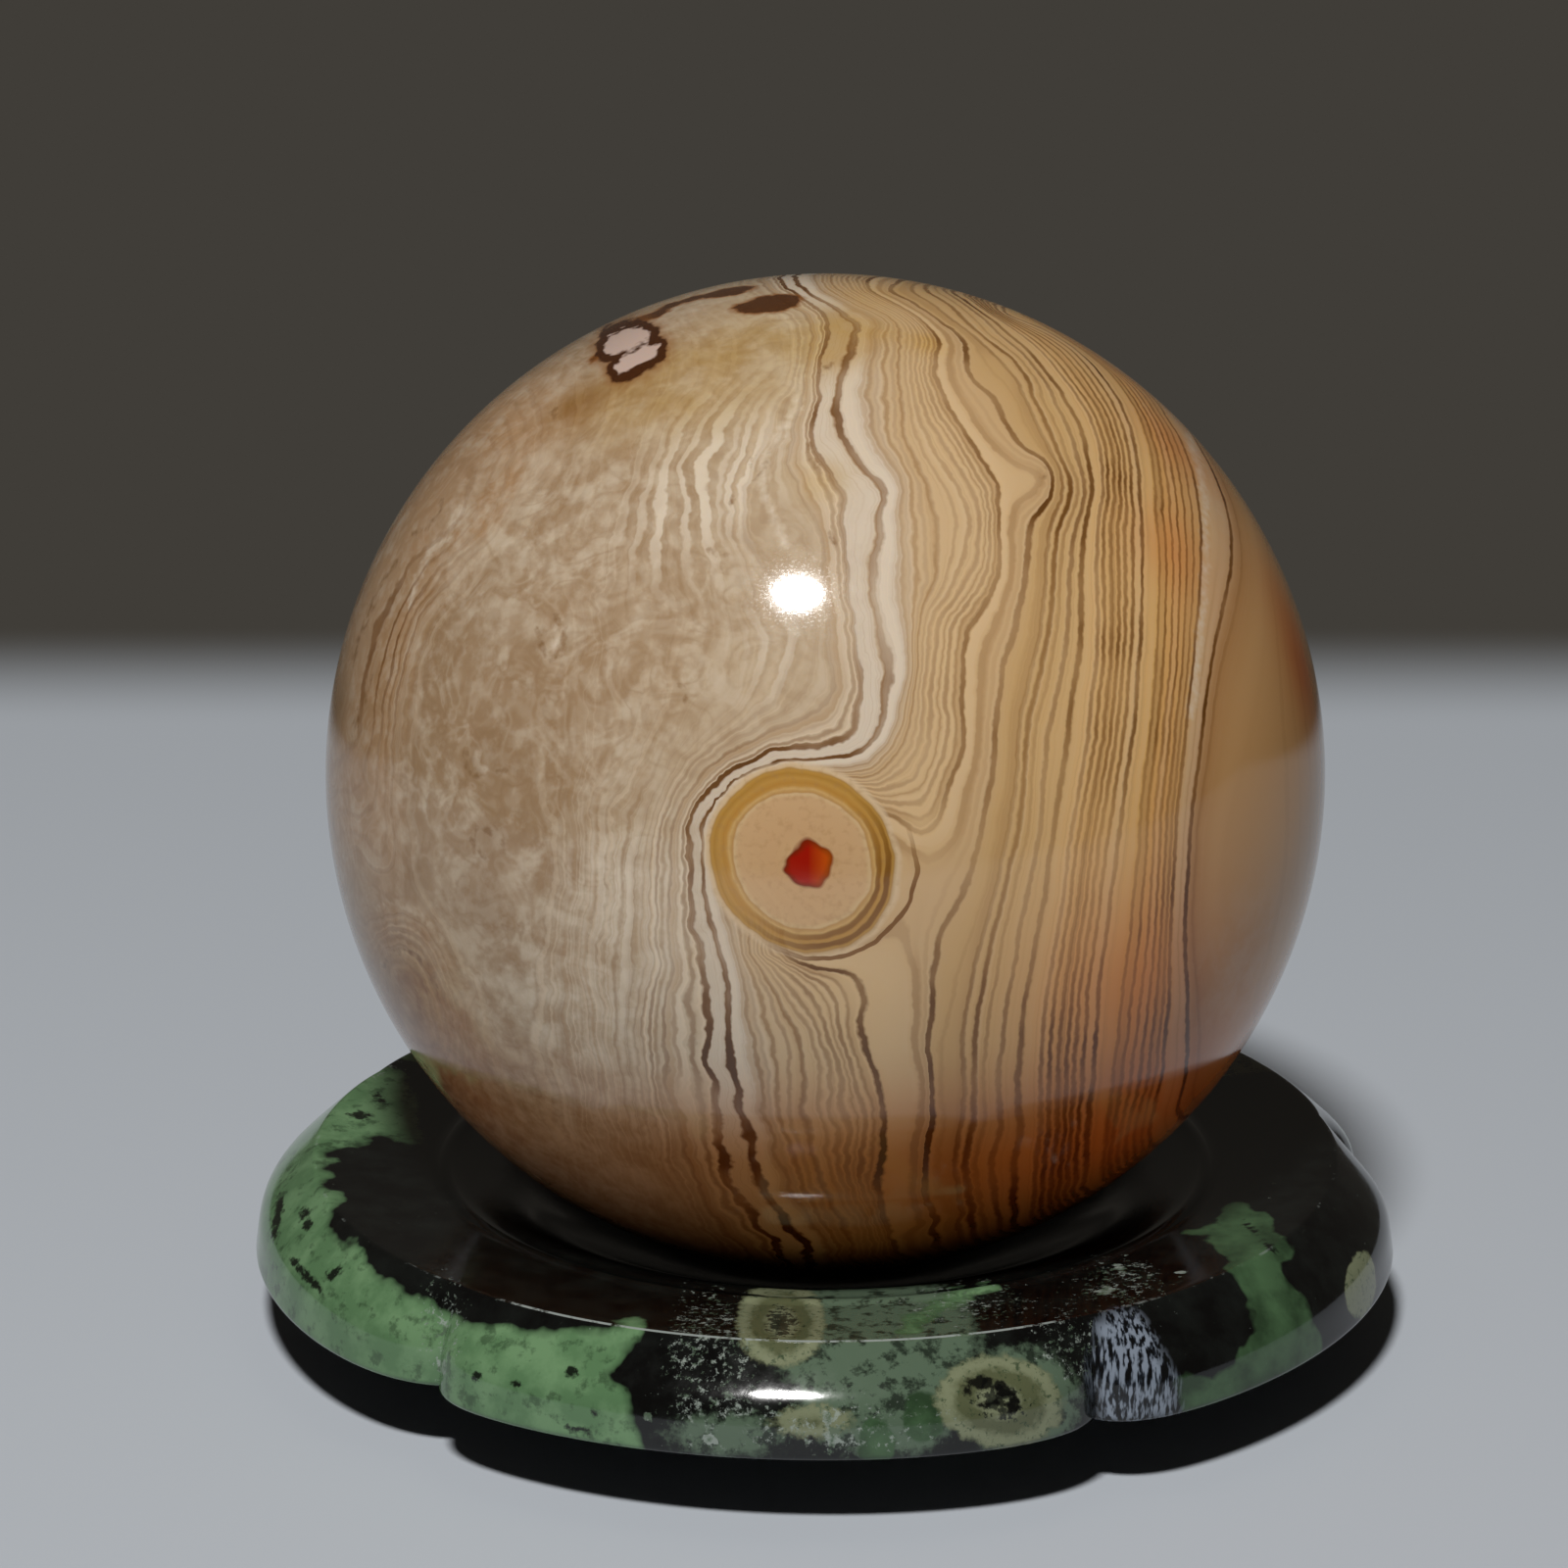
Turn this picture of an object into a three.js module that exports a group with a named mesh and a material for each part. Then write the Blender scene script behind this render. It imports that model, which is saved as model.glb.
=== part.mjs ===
// Polished agate ball resting in a shallow dish carved from dark stone, with a rim of five lobes.
// Millimetres, +Z up. The origin is the middle of the foot's flat face, where the stand rests.
// The front of the object faces -Y.

import * as THREE from 'three';
import { mergeVertices } from 'three/addons/utils/BufferGeometryUtils.js';

// Ball
const ballDiameter = 60;
const ballSegmentsAround = 60;
const ballSegmentsDown = 30;

// Rim of the stand, seen from above: five lobes that meet in sharp notches, each with one side wider
const lobeCount = 5;
const lobeRadius = 34.9;
const notchDepth = 2.1;
const notchSideBefore = THREE.MathUtils.degToRad(5);
const notchSideAfter = THREE.MathUtils.degToRad(3);
const firstNotchAngle = THREE.MathUtils.degToRad(10.5);
const segmentsPerLobe = 16;

// Section of the stand through the middle of a lobe
const undersideHeight = 4.35;
const creaseHeight = 10.35;
const creaseInset = 3.7;
const shoulderSteepness = THREE.MathUtils.degToRad(65);
const lowerEdgeRadius = 0.9;
const dishFloorHeight = 4.05;
const seatRadius = 41;
const seatReach = 18;
const slopeStart = 22;
const slopeStartHeight = 9.4;
const footRadius = 19;
const footFillet = 1.2;
const footChamfer = 0.4;
const stepsPerArc = 3;
const stepsAcrossSlope = 4;

// The notches are deepest at the rim's lower edge and run out just inside the crease, at this radius
const notchRunOutRadius = 30.5;

// The ball lies on the middle of the dish, with this gap between the two solids
const seatGap = 0.3;

const ballRadius = ballDiameter / 2;
const creaseRadius = lobeRadius - creaseInset;
const lobeAngle = (2 * Math.PI) / lobeCount;

// Corners closer than this are one corner
const weldDistance = 1e-4;

/** Joins the corners that neighbouring facets share, so that the surface is closed. */
function closeSurface(geometry) {
  geometry.deleteAttribute('normal');
  geometry.deleteAttribute('uv');
  const closed = mergeVertices(geometry, weldDistance);
  closed.computeVertexNormals();
  return closed;
}

/** Half section of the stand, from the middle of the foot round the rim to the middle of the dish. */
function standSection() {
  const section = new THREE.Path();
  const seatAngle = Math.asin(seatReach / seatRadius);
  const seatTop = dishFloorHeight + seatRadius * (1 - Math.cos(seatAngle));
  section.moveTo(0, dishFloorHeight);
  section.absarc(0, dishFloorHeight + seatRadius, seatRadius, -Math.PI / 2, seatAngle - Math.PI / 2, false);

  // A soft bend leads from the hollow seat to the gentle slope of the dish's rim
  const bendRadius = seatReach + (slopeStart - seatReach) / 2;
  const bendHeight = seatTop + (bendRadius - seatReach) * Math.tan(seatAngle);
  section.quadraticCurveTo(bendRadius, bendHeight, slopeStart, slopeStartHeight);
  for (let step = 1; step <= stepsAcrossSlope; step += 1) {
    const share = step / stepsAcrossSlope;
    section.lineTo(
      THREE.MathUtils.lerp(slopeStart, creaseRadius, share),
      THREE.MathUtils.lerp(slopeStartHeight, creaseHeight, share),
    );
  }

  // Below the crease the side is one rounded shoulder that turns upright
  const shoulderRadius = creaseInset / (1 - Math.cos(shoulderSteepness));
  const shoulderHeight = creaseHeight - shoulderRadius * Math.sin(shoulderSteepness);
  section.absarc(lobeRadius - shoulderRadius, shoulderHeight, shoulderRadius, shoulderSteepness, 0, true);
  section.absarc(
    lobeRadius - lowerEdgeRadius,
    undersideHeight + lowerEdgeRadius,
    lowerEdgeRadius,
    0,
    -Math.PI / 2,
    true,
  );

  // The flat underside runs in to the foot
  section.absarc(
    footRadius + footFillet,
    undersideHeight - footFillet,
    footFillet,
    Math.PI / 2,
    Math.PI,
    false,
  );
  section.lineTo(footRadius, footChamfer);
  section.lineTo(footRadius - footChamfer, 0);
  section.lineTo(0, 0);
  // Drawn from the top down, then turned round so that the faces point outwards
  return section.getPoints(stepsPerArc).reverse();
}

/** How far the two notches at a lobe's ends draw the rim in, by the angle from the first of them. */
function drawnInBy(angleFromNotch) {
  const after = Math.exp(-angleFromNotch / notchSideAfter);
  const before = Math.exp(-(lobeAngle - angleFromNotch) / notchSideBefore);
  return notchDepth * (after + before);
}

/** Turns a round stand into a lobed one: the facets gather at the notches and the rim draws in there. */
function shapeLobes(geometry) {
  const corners = geometry.attributes.position;
  for (let index = 0; index < corners.count; index += 1) {
    const radius = Math.hypot(corners.getX(index), corners.getY(index));
    const lobes = Math.atan2(corners.getY(index), corners.getX(index)) / lobeAngle;
    const share = lobes - Math.floor(lobes);
    const gathered = (1 - Math.cos(Math.PI * share)) / 2;
    const angleFromNotch = gathered * lobeAngle;
    const angle = firstNotchAngle + Math.floor(lobes) * lobeAngle + angleFromNotch;
    const notchShare = THREE.MathUtils.smoothstep(radius, notchRunOutRadius, lobeRadius);
    const lobedRadius = radius - notchShare * drawnInBy(angleFromNotch);
    corners.setXY(index, lobedRadius * Math.cos(angle), lobedRadius * Math.sin(angle));
  }
  return geometry;
}

function makeBall() {
  const geometry = new THREE.SphereGeometry(ballRadius, ballSegmentsAround, ballSegmentsDown);
  geometry.rotateX(Math.PI / 2);
  const agate = new THREE.MeshStandardMaterial({ color: 0xc79c70, roughness: 0.08, metalness: 0 });
  const ball = new THREE.Mesh(closeSurface(geometry), agate);
  ball.name = 'agate_sphere';
  ball.position.z = dishFloorHeight + seatGap + ballRadius;
  return ball;
}

function makeStand() {
  const geometry = new THREE.LatheGeometry(standSection(), lobeCount * segmentsPerLobe);
  geometry.rotateX(Math.PI / 2);
  const darkStone = new THREE.MeshStandardMaterial({ color: 0x1d2420, roughness: 0.15, metalness: 0 });
  const stand = new THREE.Mesh(closeSurface(shapeLobes(geometry)), darkStone);
  stand.name = 'lobed_stand';
  return stand;
}

const agateSphereOnStand = new THREE.Group();
agateSphereOnStand.add(makeStand(), makeBall());

export default agateSphereOnStand;
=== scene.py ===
import functools
import math
import types

import bmesh
import bpy
import numpy as np
from mathutils import Matrix, Vector


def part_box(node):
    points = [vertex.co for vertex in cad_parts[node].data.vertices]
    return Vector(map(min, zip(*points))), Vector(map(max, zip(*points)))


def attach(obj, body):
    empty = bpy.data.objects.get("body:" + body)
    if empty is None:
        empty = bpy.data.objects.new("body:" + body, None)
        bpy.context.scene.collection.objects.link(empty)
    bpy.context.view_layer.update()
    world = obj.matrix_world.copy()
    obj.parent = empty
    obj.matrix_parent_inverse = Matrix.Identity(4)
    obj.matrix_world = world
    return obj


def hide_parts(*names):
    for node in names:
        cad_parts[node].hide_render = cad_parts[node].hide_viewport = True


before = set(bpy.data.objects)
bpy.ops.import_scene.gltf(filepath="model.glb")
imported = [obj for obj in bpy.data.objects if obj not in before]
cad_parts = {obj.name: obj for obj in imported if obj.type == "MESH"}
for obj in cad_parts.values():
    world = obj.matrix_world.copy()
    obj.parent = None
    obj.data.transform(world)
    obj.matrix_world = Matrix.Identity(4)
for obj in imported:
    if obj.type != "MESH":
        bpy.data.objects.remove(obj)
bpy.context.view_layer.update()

bl_info = {
    "name": "Agate ball on a lobed stone stand",
    "version": (1, 0, 0),
    "blender": (4, 5, 0),
    "location": "View3D > Sidebar > Agate",
    "description": "Makes a polished banded agate ball, the carved stone dish that it rests in, and a stage",
    "category": "Add Mesh",
}

MM = 0.001

# The ball and its place, from the frame
BALL_LOW, BALL_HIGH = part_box("agate_sphere")
BALL_CENTRE = (BALL_LOW + BALL_HIGH) / 2
BALL_RADIUS = (BALL_HIGH.z - BALL_LOW.z) / 2

# The photograph's camera looks down on the ball's centre from the front
CAMERA_ELEVATION = math.radians(18)
CAMERA_DISTANCE = 15 * BALL_RADIUS
SENSOR_WIDTH = 36.0
IMAGE_PIXELS = 1600
BALL_CENTRE_PIXEL = (842, 789)
BALL_RADIUS_PIXELS = 510
PIXELS_PER_MM = BALL_RADIUS_PIXELS * MM / BALL_RADIUS
FOCAL_PIXELS = BALL_RADIUS_PIXELS * math.sqrt((CAMERA_DISTANCE / BALL_RADIUS) ** 2 - 1)

RIGHT = Vector((1, 0, 0))
UP = Vector((0, math.sin(CAMERA_ELEVATION), math.cos(CAMERA_ELEVATION)))
TOWARD = Vector((0, -math.cos(CAMERA_ELEVATION), math.sin(CAMERA_ELEVATION)))
VIEW_AXES = np.array((RIGHT, UP, TOWARD))

# Lines of the agate's banding, followed on the photograph from the top of the ball down. Each has its place,
# in millimetres across the ball, and the pixels that it passes through.
GUIDE_LINES = (
    (-22, ((452, 498), (436, 528), (408, 558), (388, 590), (372, 622), (360, 655), (352, 700), (347, 760))),
    (-19.5, ((490, 555), (455, 585), (428, 622), (412, 662), (402, 705), (395, 760), (392, 810),
     (395, 870))),
    (-18.5, ((372, 938), (390, 930), (410, 931), (432, 942), (450, 968), (466, 1000), (487, 1080))),
    (-21, ((385, 965), (402, 955), (420, 962), (438, 984), (452, 1012), (460, 1045))),
    (-15.5, ((520, 560), (480, 610), (455, 650), (440, 700), (430, 760), (428, 830), (440, 890),
     (500, 1010), (535, 1120))),
    (-14, ((575, 620), (565, 680), (552, 730), (556, 780), (565, 830), (568, 880), (566, 930), (555, 1030),
     (556, 1080), (560, 1130), (575, 1170))),
    (-11, ((640, 500), (618, 560), (612, 620), (612, 680), (592, 820), (583, 980), (584, 1040), (592, 1100),
     (604, 1160), (620, 1200))),
    (-8, ((720, 400), (690, 440), (672, 490), (668, 540), (676, 660), (668, 710), (630, 790), (616, 830),
     (610, 880), (607, 1000), (612, 1060), (622, 1120), (636, 1170), (655, 1215))),
    (-5, ((780, 380), (745, 425), (722, 465), (716, 500), (722, 545), (735, 590), (742, 640), (736, 690),
     (714, 732), (684, 772), (662, 812), (648, 850), (643, 900), (640, 1000), (636, 1050), (640, 1100),
     (650, 1150), (668, 1200), (690, 1235))),
    (-2.2, ((815, 350), (806, 400), (785, 432), (756, 495), (755, 525), (768, 560), (790, 600), (806, 650),
     (800, 690), (788, 716), (762, 738), (735, 756), (708, 782), (688, 806), (674, 832), (669, 860),
     (668, 900), (672, 980), (662, 1050), (664, 1095), (684, 1190), (706, 1230))),
    (-0.4, ((832, 345), (822, 385), (822, 410), (812, 440), (808, 470), (836, 530), (848, 620), (852, 670),
     (848, 708), (832, 728), (760, 762), (738, 776), (720, 792), (695, 825), (688, 845), (684, 870),
     (687, 980), (681, 1050), (682, 1090), (700, 1180), (716, 1218), (740, 1256))),
    (1.4, ((846, 335), (835, 375), (833, 398), (836, 412), (827, 445), (829, 460), (839, 474), (852, 485),
     (860, 499), (862, 515), (857, 537), (857, 562), (868, 622), (875, 682), (876, 710), (872, 735),
     (860, 749), (845, 755), (785, 766), (750, 783), (732, 796), (718, 812), (708, 829), (703, 848),
     (703, 900), (715, 968), (721, 1045), (721, 1087), (735, 1158), (748, 1208), (758, 1230), (772, 1251),
     (790, 1268))),
    (2.9, ((876, 335), (861, 376), (855, 386), (854, 397), (860, 441), (865, 455), (881, 476), (885, 486),
     (899, 498), (901, 511), (890, 567), (890, 602), (897, 633), (902, 672), (903, 725), (900, 741),
     (892, 754), (881, 765), (866, 773), (803, 776), (767, 786), (750, 797), (725, 826), (718, 843),
     (716, 862), (718, 905), (738, 987), (750, 1100), (767, 1187), (776, 1210), (788, 1231), (822, 1268))),
    (4.6, ((896, 330), (887, 365), (884, 400), (886, 425), (892, 448), (914, 478), (921, 500), (919, 560),
     (926, 640), (926, 680), (922, 712), (915, 740), (902, 765), (884, 780), (862, 784))),
    (4.6, ((742, 940), (763, 1020), (778, 1135), (786, 1170), (798, 1202), (816, 1232), (838, 1260))),
    (6.5, ((918, 340), (917, 410), (922, 440), (946, 495), (954, 525), (956, 560), (952, 592), (943, 620),
     (937, 650), (934, 725), (925, 755), (910, 777))),
    (6.2, ((764, 972), (792, 1020), (803, 1045), (810, 1075), (815, 1145), (821, 1178), (832, 1208),
     (862, 1262))),
    (8.4, ((940, 355), (937, 380), (940, 408), (950, 428), (975, 465), (998, 508), (1002, 530), (1003, 555),
     (1000, 575), (962, 636), (957, 658), (954, 725), (948, 765), (936, 798))),
    (7.8, ((778, 976), (812, 1012), (826, 1030), (838, 1052), (845, 1075), (850, 1105), (864, 1210),
     (890, 1268))),
    (9.1, ((786, 972), (844, 1009), (853, 1028), (871, 1107), (879, 1132), (882, 1160), (878, 1212),
     (903, 1266))),
    (10, ((960, 352), (955, 366), (954, 380), (957, 396), (963, 411), (1000, 464), (1014, 492), (1018, 506),
     (1021, 560), (1019, 580), (1010, 608), (990, 643), (986, 660), (982, 705), (982, 755), (979, 775),
     (960, 829), (951, 843), (938, 849))),
    (10, ((803, 979), (820, 986), (862, 992), (874, 1000), (881, 1018), (880, 1045), (883, 1064),
     (897, 1108), (902, 1138), (902, 1172), (896, 1208), (900, 1235), (913, 1275))),
    (10.6, ((924, 1075), (928, 1112), (927, 1145), (922, 1180))),
    (11, ((925, 955), (936, 1000), (933, 1062), (941, 1112), (940, 1140), (932, 1196), (934, 1222),
     (941, 1248))),
    (12, ((912, 299), (938, 313), (979, 342), (987, 352), (987, 377), (994, 390), (1012, 405), (1040, 455),
     (1065, 469), (1073, 481), (1075, 496), (1072, 509), (1053, 533), (1050, 545), (1046, 600), (1034, 650),
     (1022, 684), (1009, 812), (996, 871), (991, 889), (979, 917), (971, 928), (960, 956), (957, 978),
     (951, 998), (953, 1015), (947, 1064), (951, 1145), (943, 1196), (943, 1214), (960, 1274))),
    (13, ((1038, 392), (1058, 438), (1080, 476), (1083, 498), (1080, 514), (1071, 533), (1067, 552),
     (1066, 604), (1058, 655), (1042, 722), (1036, 790), (1028, 845), (1016, 900), (988, 1005), (981, 1045),
     (979, 1066), (982, 1112), (974, 1186), (981, 1240))),
    (13.8, ((960, 305), (975, 315), (1001, 342), (1034, 366), (1049, 386), (1057, 409), (1091, 484),
     (1094, 500), (1091, 516), (1078, 545), (1074, 620), (1064, 683), (1053, 722), (1050, 742), (1040, 850),
     (1014, 956), (998, 1034), (995, 1060), (994, 1142), (986, 1190), (995, 1262))),
    (15.5, ((985, 307), (1016, 329), (1052, 361), (1081, 397), (1103, 436), (1114, 496), (1104, 560),
     (1103, 645), (1099, 682), (1062, 934), (1045, 1030), (1040, 1090), (1040, 1150), (1033, 1210),
     (1035, 1240))),
    (19.1, ((1030, 322), (1065, 336), (1090, 351), (1110, 367), (1126, 386), (1140, 406), (1150, 427),
     (1158, 452), (1162, 482), (1166, 562), (1164, 660), (1157, 740), (1122, 1002), (1106, 1210))),
    (22.5, ((1100, 345), (1150, 380), (1180, 410), (1202, 444), (1215, 476), (1222, 506), (1225, 536),
     (1225, 602), (1200, 842), (1191, 1040), (1187, 1090), (1178, 1130))),
    (24, ((1150, 372), (1185, 402), (1215, 440), (1236, 478), (1250, 512), (1256, 545), (1257, 575),
     (1235, 682), (1214, 852), (1209, 942), (1213, 1070), (1210, 1098), (1203, 1122))),
    (27, ((1270, 480), (1290, 560), (1298, 640), (1300, 720), (1300, 800), (1296, 880), (1288, 960),
     (1272, 1030))),
)

# Where the bands end against the eye: pixel across, pixel down and the place of the band that ends there
EYE_EDGE = (
    (800, 787, 5), (775, 792, 4.9), (752, 803, 4.9), (736, 820, 4.9), (727, 845, 5), (725, 870, 5),
    (730, 895, 5), (738, 915, 5.1), (750, 933, 5.4), (762, 948, 6.2), (774, 957, 7.4), (788, 966, 9.2),
    (805, 974, 10.2), (830, 977, 10.5), (860, 974, 10.6), (890, 966, 10.8), (918, 950, 11),
    (932, 925, 11.2), (932, 898, 11.3), (925, 872, 11.2), (912, 850, 10.8), (898, 832, 10.4),
    (880, 814, 9.6), (860, 801, 8.2), (840, 793, 6.8), (820, 788, 5.6),
)

# The field that carries the bands between the guide lines, which are followed in steps of this many pixels.
# It is worked out for one part of the ball after another, as the whole would take much memory at once.
GUIDE_SPACING = 12
FIELD_SMOOTHING = 1e-6
SMALLEST_SQUARE = 1e-12
FIELD_PARTS = 60

# Points spread over the whole ball guide the field where they lie less than this far toward the camera, in
# ball radii. There the bands are nearly flat sheets, wavy on the left and closer together.
HIDDEN_GUIDES = 400
HIDDEN_FROM = -0.22
HIDDEN_WAVE = 1.5
WAVE_RATES = (0, 2, 5)
WAVY_SIDE = (-10, 20)
LEFT_SPREAD = 0.76

# Strong brown lines from left to right: place in millimetres across the banding, strength and width
LINES = (
    (-23.2, 0.64, 0.3), (-22.5, 0.8, 0.35), (-21.7, 0.9, 0.35), (-21, 0.8, 0.3), (-20.3, 0.88, 0.35),
    (-19.6, 0.64, 0.3), (-18.9, 0.8, 0.35), (-18.1, 0.35, 0.3), (-17.2, 0.3, 0.35), (-15.9, 0.2, 0.4),
    (-14.6, 0.2, 0.35), (-12.2, 0.2, 0.4), (-9.5, 0.2, 0.4), (-7.3, 0.22, 0.35), (-5.9, 0.3, 0.3),
    (-4.7, 0.35, 0.3), (-3.7, 0.4, 0.25), (-2.9, 0.45, 0.25), (-2.1, 0.6, 0.25), (-1.4, 0.45, 0.25),
    (-0.6, 0.65, 0.25), (0.2, 0.55, 0.25), (0.85, 0.6, 0.25), (1.4, 1.2, 0.42), (2.9, 1.2, 0.42),
    (4.65, 0.5, 0.25), (5.05, 0.25, 0.25), (5.5, 0.45, 0.25), (6, 0.4, 0.22), (6.5, 0.55, 0.25),
    (7.1, 0.4, 0.22), (7.6, 0.5, 0.25), (8.2, 0.6, 0.25), (8.7, 0.3, 0.22), (9.1, 0.65, 0.25),
    (9.55, 0.45, 0.22), (10, 1, 0.3), (11, 0.25, 0.4), (11.6, 0.15, 0.25), (12, 1, 0.35), (12.6, 0.2, 0.22),
    (13.1, 0.7, 0.25), (13.75, 0.9, 0.32), (14.3, 0.5, 0.22), (14.9, 0.8, 0.28), (15.5, 1, 0.32),
    (16.4, 0.8, 0.25), (16.8, 0.96, 0.25), (17.25, 0.88, 0.25), (17.7, 0.96, 0.25), (18.1, 0.88, 0.25),
    (18.55, 0.96, 0.25), (19.1, 1, 0.29), (20.1, 0.64, 0.23), (20.5, 0.8, 0.23), (20.9, 0.72, 0.23),
    (21.3, 0.8, 0.23), (21.7, 0.72, 0.23), (22.1, 0.64, 0.23), (22.5, 0.85, 0.28), (24, 1, 0.34),
    (24.7, 0.3, 0.3), (26.5, 0.15, 0.4), (27.3, 0.7, 0.3), (27.8, 0.5, 0.25), (28.4, 0.9, 0.3),
    (28.8, 0.5, 0.25), (29.3, 0.7, 0.25),
)
# Pale wavy bands in the cloudy part, the same way
PALE_LINES = (
    (-12.6, 0.5, 0.5), (-10.6, 0.7, 0.6), (-9, 0.8, 0.5), (-7.9, 1, 0.5), (-6.4, 0.8, 0.4), (-5.1, 1, 0.6),
    (-3.9, 0.6, 0.3), (-3.2, 0.9, 0.4), (-2.2, 1, 0.6), (-1.1, 0.6, 0.3), (-0.4, 1, 0.5), (0.5, 0.7, 0.3),
)
LINES_PER_RAMP = 9
# How far from a line its ramp reaches, how soft its edge is and how far apart two stops lie, in millimetres
LINE_REACH = 1.0
LINE_SOFTNESS = 0.06
RAMP_STEP = 0.002

# Body colour at places across the banding, and how white its two white bands are there
BODY_COLOURS = (
    (-24, "#9A7652"), (-20, "#B8926C"), (-16, "#AA8E70"), (-10, "#B59B7E"), (-5, "#BEA688"),
    (-1, "#C2AA8C"), (1.2, "#C0A686"), (4.7, "#C4A57E"), (7, "#D0B086"), (10, "#D8B688"), (11.5, "#CCA97D"),
    (12.5, "#CAA470"), (15.6, "#D4AD78"), (16.3, "#DCB27A"), (17.5, "#DAAC70"), (19.2, "#DEB47C"),
    (20, "#DCAC6A"), (21, "#DAA464"), (22.6, "#D2A268"), (23, "#D2AC80"), (23.7, "#CCA276"),
    (24.6, "#B0804E"), (26, "#C29460"), (29, "#B4844E"), (32, "#9C6C36"),
)
BAND_WHITE = "#DDCEBB"
WHITE_BANDS = (
    (0, 0), (0.3, 0.2), (0.9, 0.1), (1.45, 0.15), (1.65, 0.8), (2.5, 0.8), (2.8, 0.4), (3.05, 0.6),
    (3.3, 0.85), (4.3, 0.75), (4.65, 0.1), (5.1, 0.25), (5.5, 0), (8, 0),
)

# Other colours of the agate
CLOUD_DARK = "#8C6A45"
CLOUD_MIDDLE = "#A08261"
CLOUD_PALE = "#CFBDA5"
FINE_LINE_PALE = "#EBD5B8"
FINE_LINE_DARK = "#A67E50"
STROKE_PALE = "#E2D2BC"
STROKE_DARK = "#805C36"
LINE_BROWN = "#74450A"
LINE_DARK = "#4A2805"
# Partly an orange stain and, on the right and below, partly a painted glow of light through the stone
STAIN_AND_GLOW_TINT = "#F0A45C"
OCHRE_TINT = "#FAEEC2"
# Painted warm glow of light that comes through the underside
PAINTED_UNDERGLOW_TINT = "#F0B278"
STAIN_BROWN = "#8A5014"
STAIN_DARK = "#421E04"
CELL_PINK = "#CDB2A4"
CORE_RED = "#A01402"
CORE_ORANGE = "#C2540A"

# Noises of the agate: cycles per millimetre, detail, roughness and, for the curls, distortion
AGATE_NOISES = {
    "sway": (0.35, 3, 0.5), "ragged": (1.8, 2, 0.5), "burl": (0.22, 4, 0.55), "cloud": (0.25, 5, 0.6),
    "veil": (0.45, 5, 0.65), "mottle": (0.7, 4, 0.55), "stretch": (0.16, 3, 0.5), "patch": (0.35, 4, 0.6),
    "eye_wobble": (0.5, 2, 0.5), "eye_grain": (2.5, 3, 0.5), "core_wobble": (0.8, 1, 0.5),
    "stain_edge": (1.2, 3, 0.5), "polish": (6, 2, 0.6), "curl": (0.28, 2, 0.5, 1.6),
}
CURL_LEVELS = 24
FINE_LINE_SCALE = 1.3
# Noises lie mostly between these two values, which move an edge by its full reach either way
NOISE_LOW = 0.3
NOISE_HIGH = 0.7

# Lines keep their width where a millimetre of the ball holds this many places across the banding. They are up
# to this much wider on the underside, between these depths below the ball's centre in ball radii.
CROWDING_LIMITS = (0.45, 1.3)
LOW_WIDENING = 0.5
WIDER_BELOW = (0.1, 0.6)

# Chalcedony's index, how far red, green and blue light go in it beside each other, and how deep the finest
# polishing marks are
AGATE_IOR = 1.54
LIGHT_DEPTHS = (1.0, 0.55, 0.25)
MARK_DEPTH = 0.02 * MM

# Soft spots on the ball in pixels of the photograph: across, down, reach and strength
MOSSY_SPOTS = (
    (480, 850, 120, 0.9), (560, 700, 100, 0.9), (600, 540, 100, 0.9), (720, 620, 80, 0.6),
    (480, 640, 80, 0.6), (600, 900, 80, 0.3), (520, 1000, 90, 0.3),
)
CLEAR_SPOTS = ((380, 650, 70, 1.0), (690, 880, 60, 0.7), (670, 1080, 95, 0.9), (420, 960, 50, 0.3))
# Warm spots: orange stain, and on the right and lower right also a painted glow of light through the stone
STAIN_AND_GLOW_SPOTS = (
    (1200, 455, 38, 0.35), (1195, 560, 35, 0.35), (1150, 380, 50, 0.25), (1150, 1010, 80, 0.6),
    (1150, 1160, 90, 0.6), (1330, 690, 40, 0.7), (1310, 620, 40, 0.4), (1000, 1200, 80, 0.3),
    (1260, 1000, 60, 0.25), (590, 418, 26, 0.15), (440, 1040, 70, 0.3),
)
OCHRE_SPOTS = (
    (590, 415, 26, 1), (660, 420, 40, 0.4), (700, 385, 60, 0.7), (780, 350, 60, 0.7), (640, 400, 30, 0.5),
    (850, 345, 30, 0.9), (900, 330, 32, 0.6), (945, 350, 14, 1), (890, 300, 30, 0.6), (835, 490, 22, 0.5),
    (1100, 440, 40, 0.2), (1335, 700, 40, 1), (440, 1030, 65, 1), (560, 1150, 60, 0.4),
)
PALE_SPOTS = (
    (590, 530, 75, 0.7), (480, 540, 55, 0.6), (668, 900, 50, 1), (600, 1020, 90, 1), (465, 1040, 80, 1),
    (1238, 520, 22, 0.3), (590, 1170, 90, 0.6), (1260, 1000, 60, 0.3),
)
WAVE_SPOTS = (
    (745, 470, 60, 1), (680, 540, 45, 0.6), (800, 670, 40, 0.6), (640, 900, 50, 0.6), (680, 1010, 60, 0.5),
)
SHADE_SPOTS = (
    (492, 922, 28, 0.45), (500, 772, 18, 0.35), (498, 857, 15, 0.4), (560, 720, 50, 0.12),
    (470, 660, 45, 0.15), (588, 414, 24, 0.7), (345, 720, 30, 0.8), (420, 900, 22, 0.3),
    (545, 800, 40, 0.1), (700, 500, 60, 0.14), (860, 440, 60, 0.05), (560, 640, 120, 0.05),
)
FAINT_SPOTS = (
    (1060, 880, 70, 0.4), (880, 320, 50, 0.7), (1120, 880, 60, 0.25), (865, 500, 90, 0.4),
    (1100, 340, 40, 0.3), (1062, 455, 26, 0.4), (945, 845, 20, 0.5), (1200, 380, 50, 0.7),
    (702, 1140, 30, 0.8), (872, 640, 60, 0.7),
)
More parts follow.
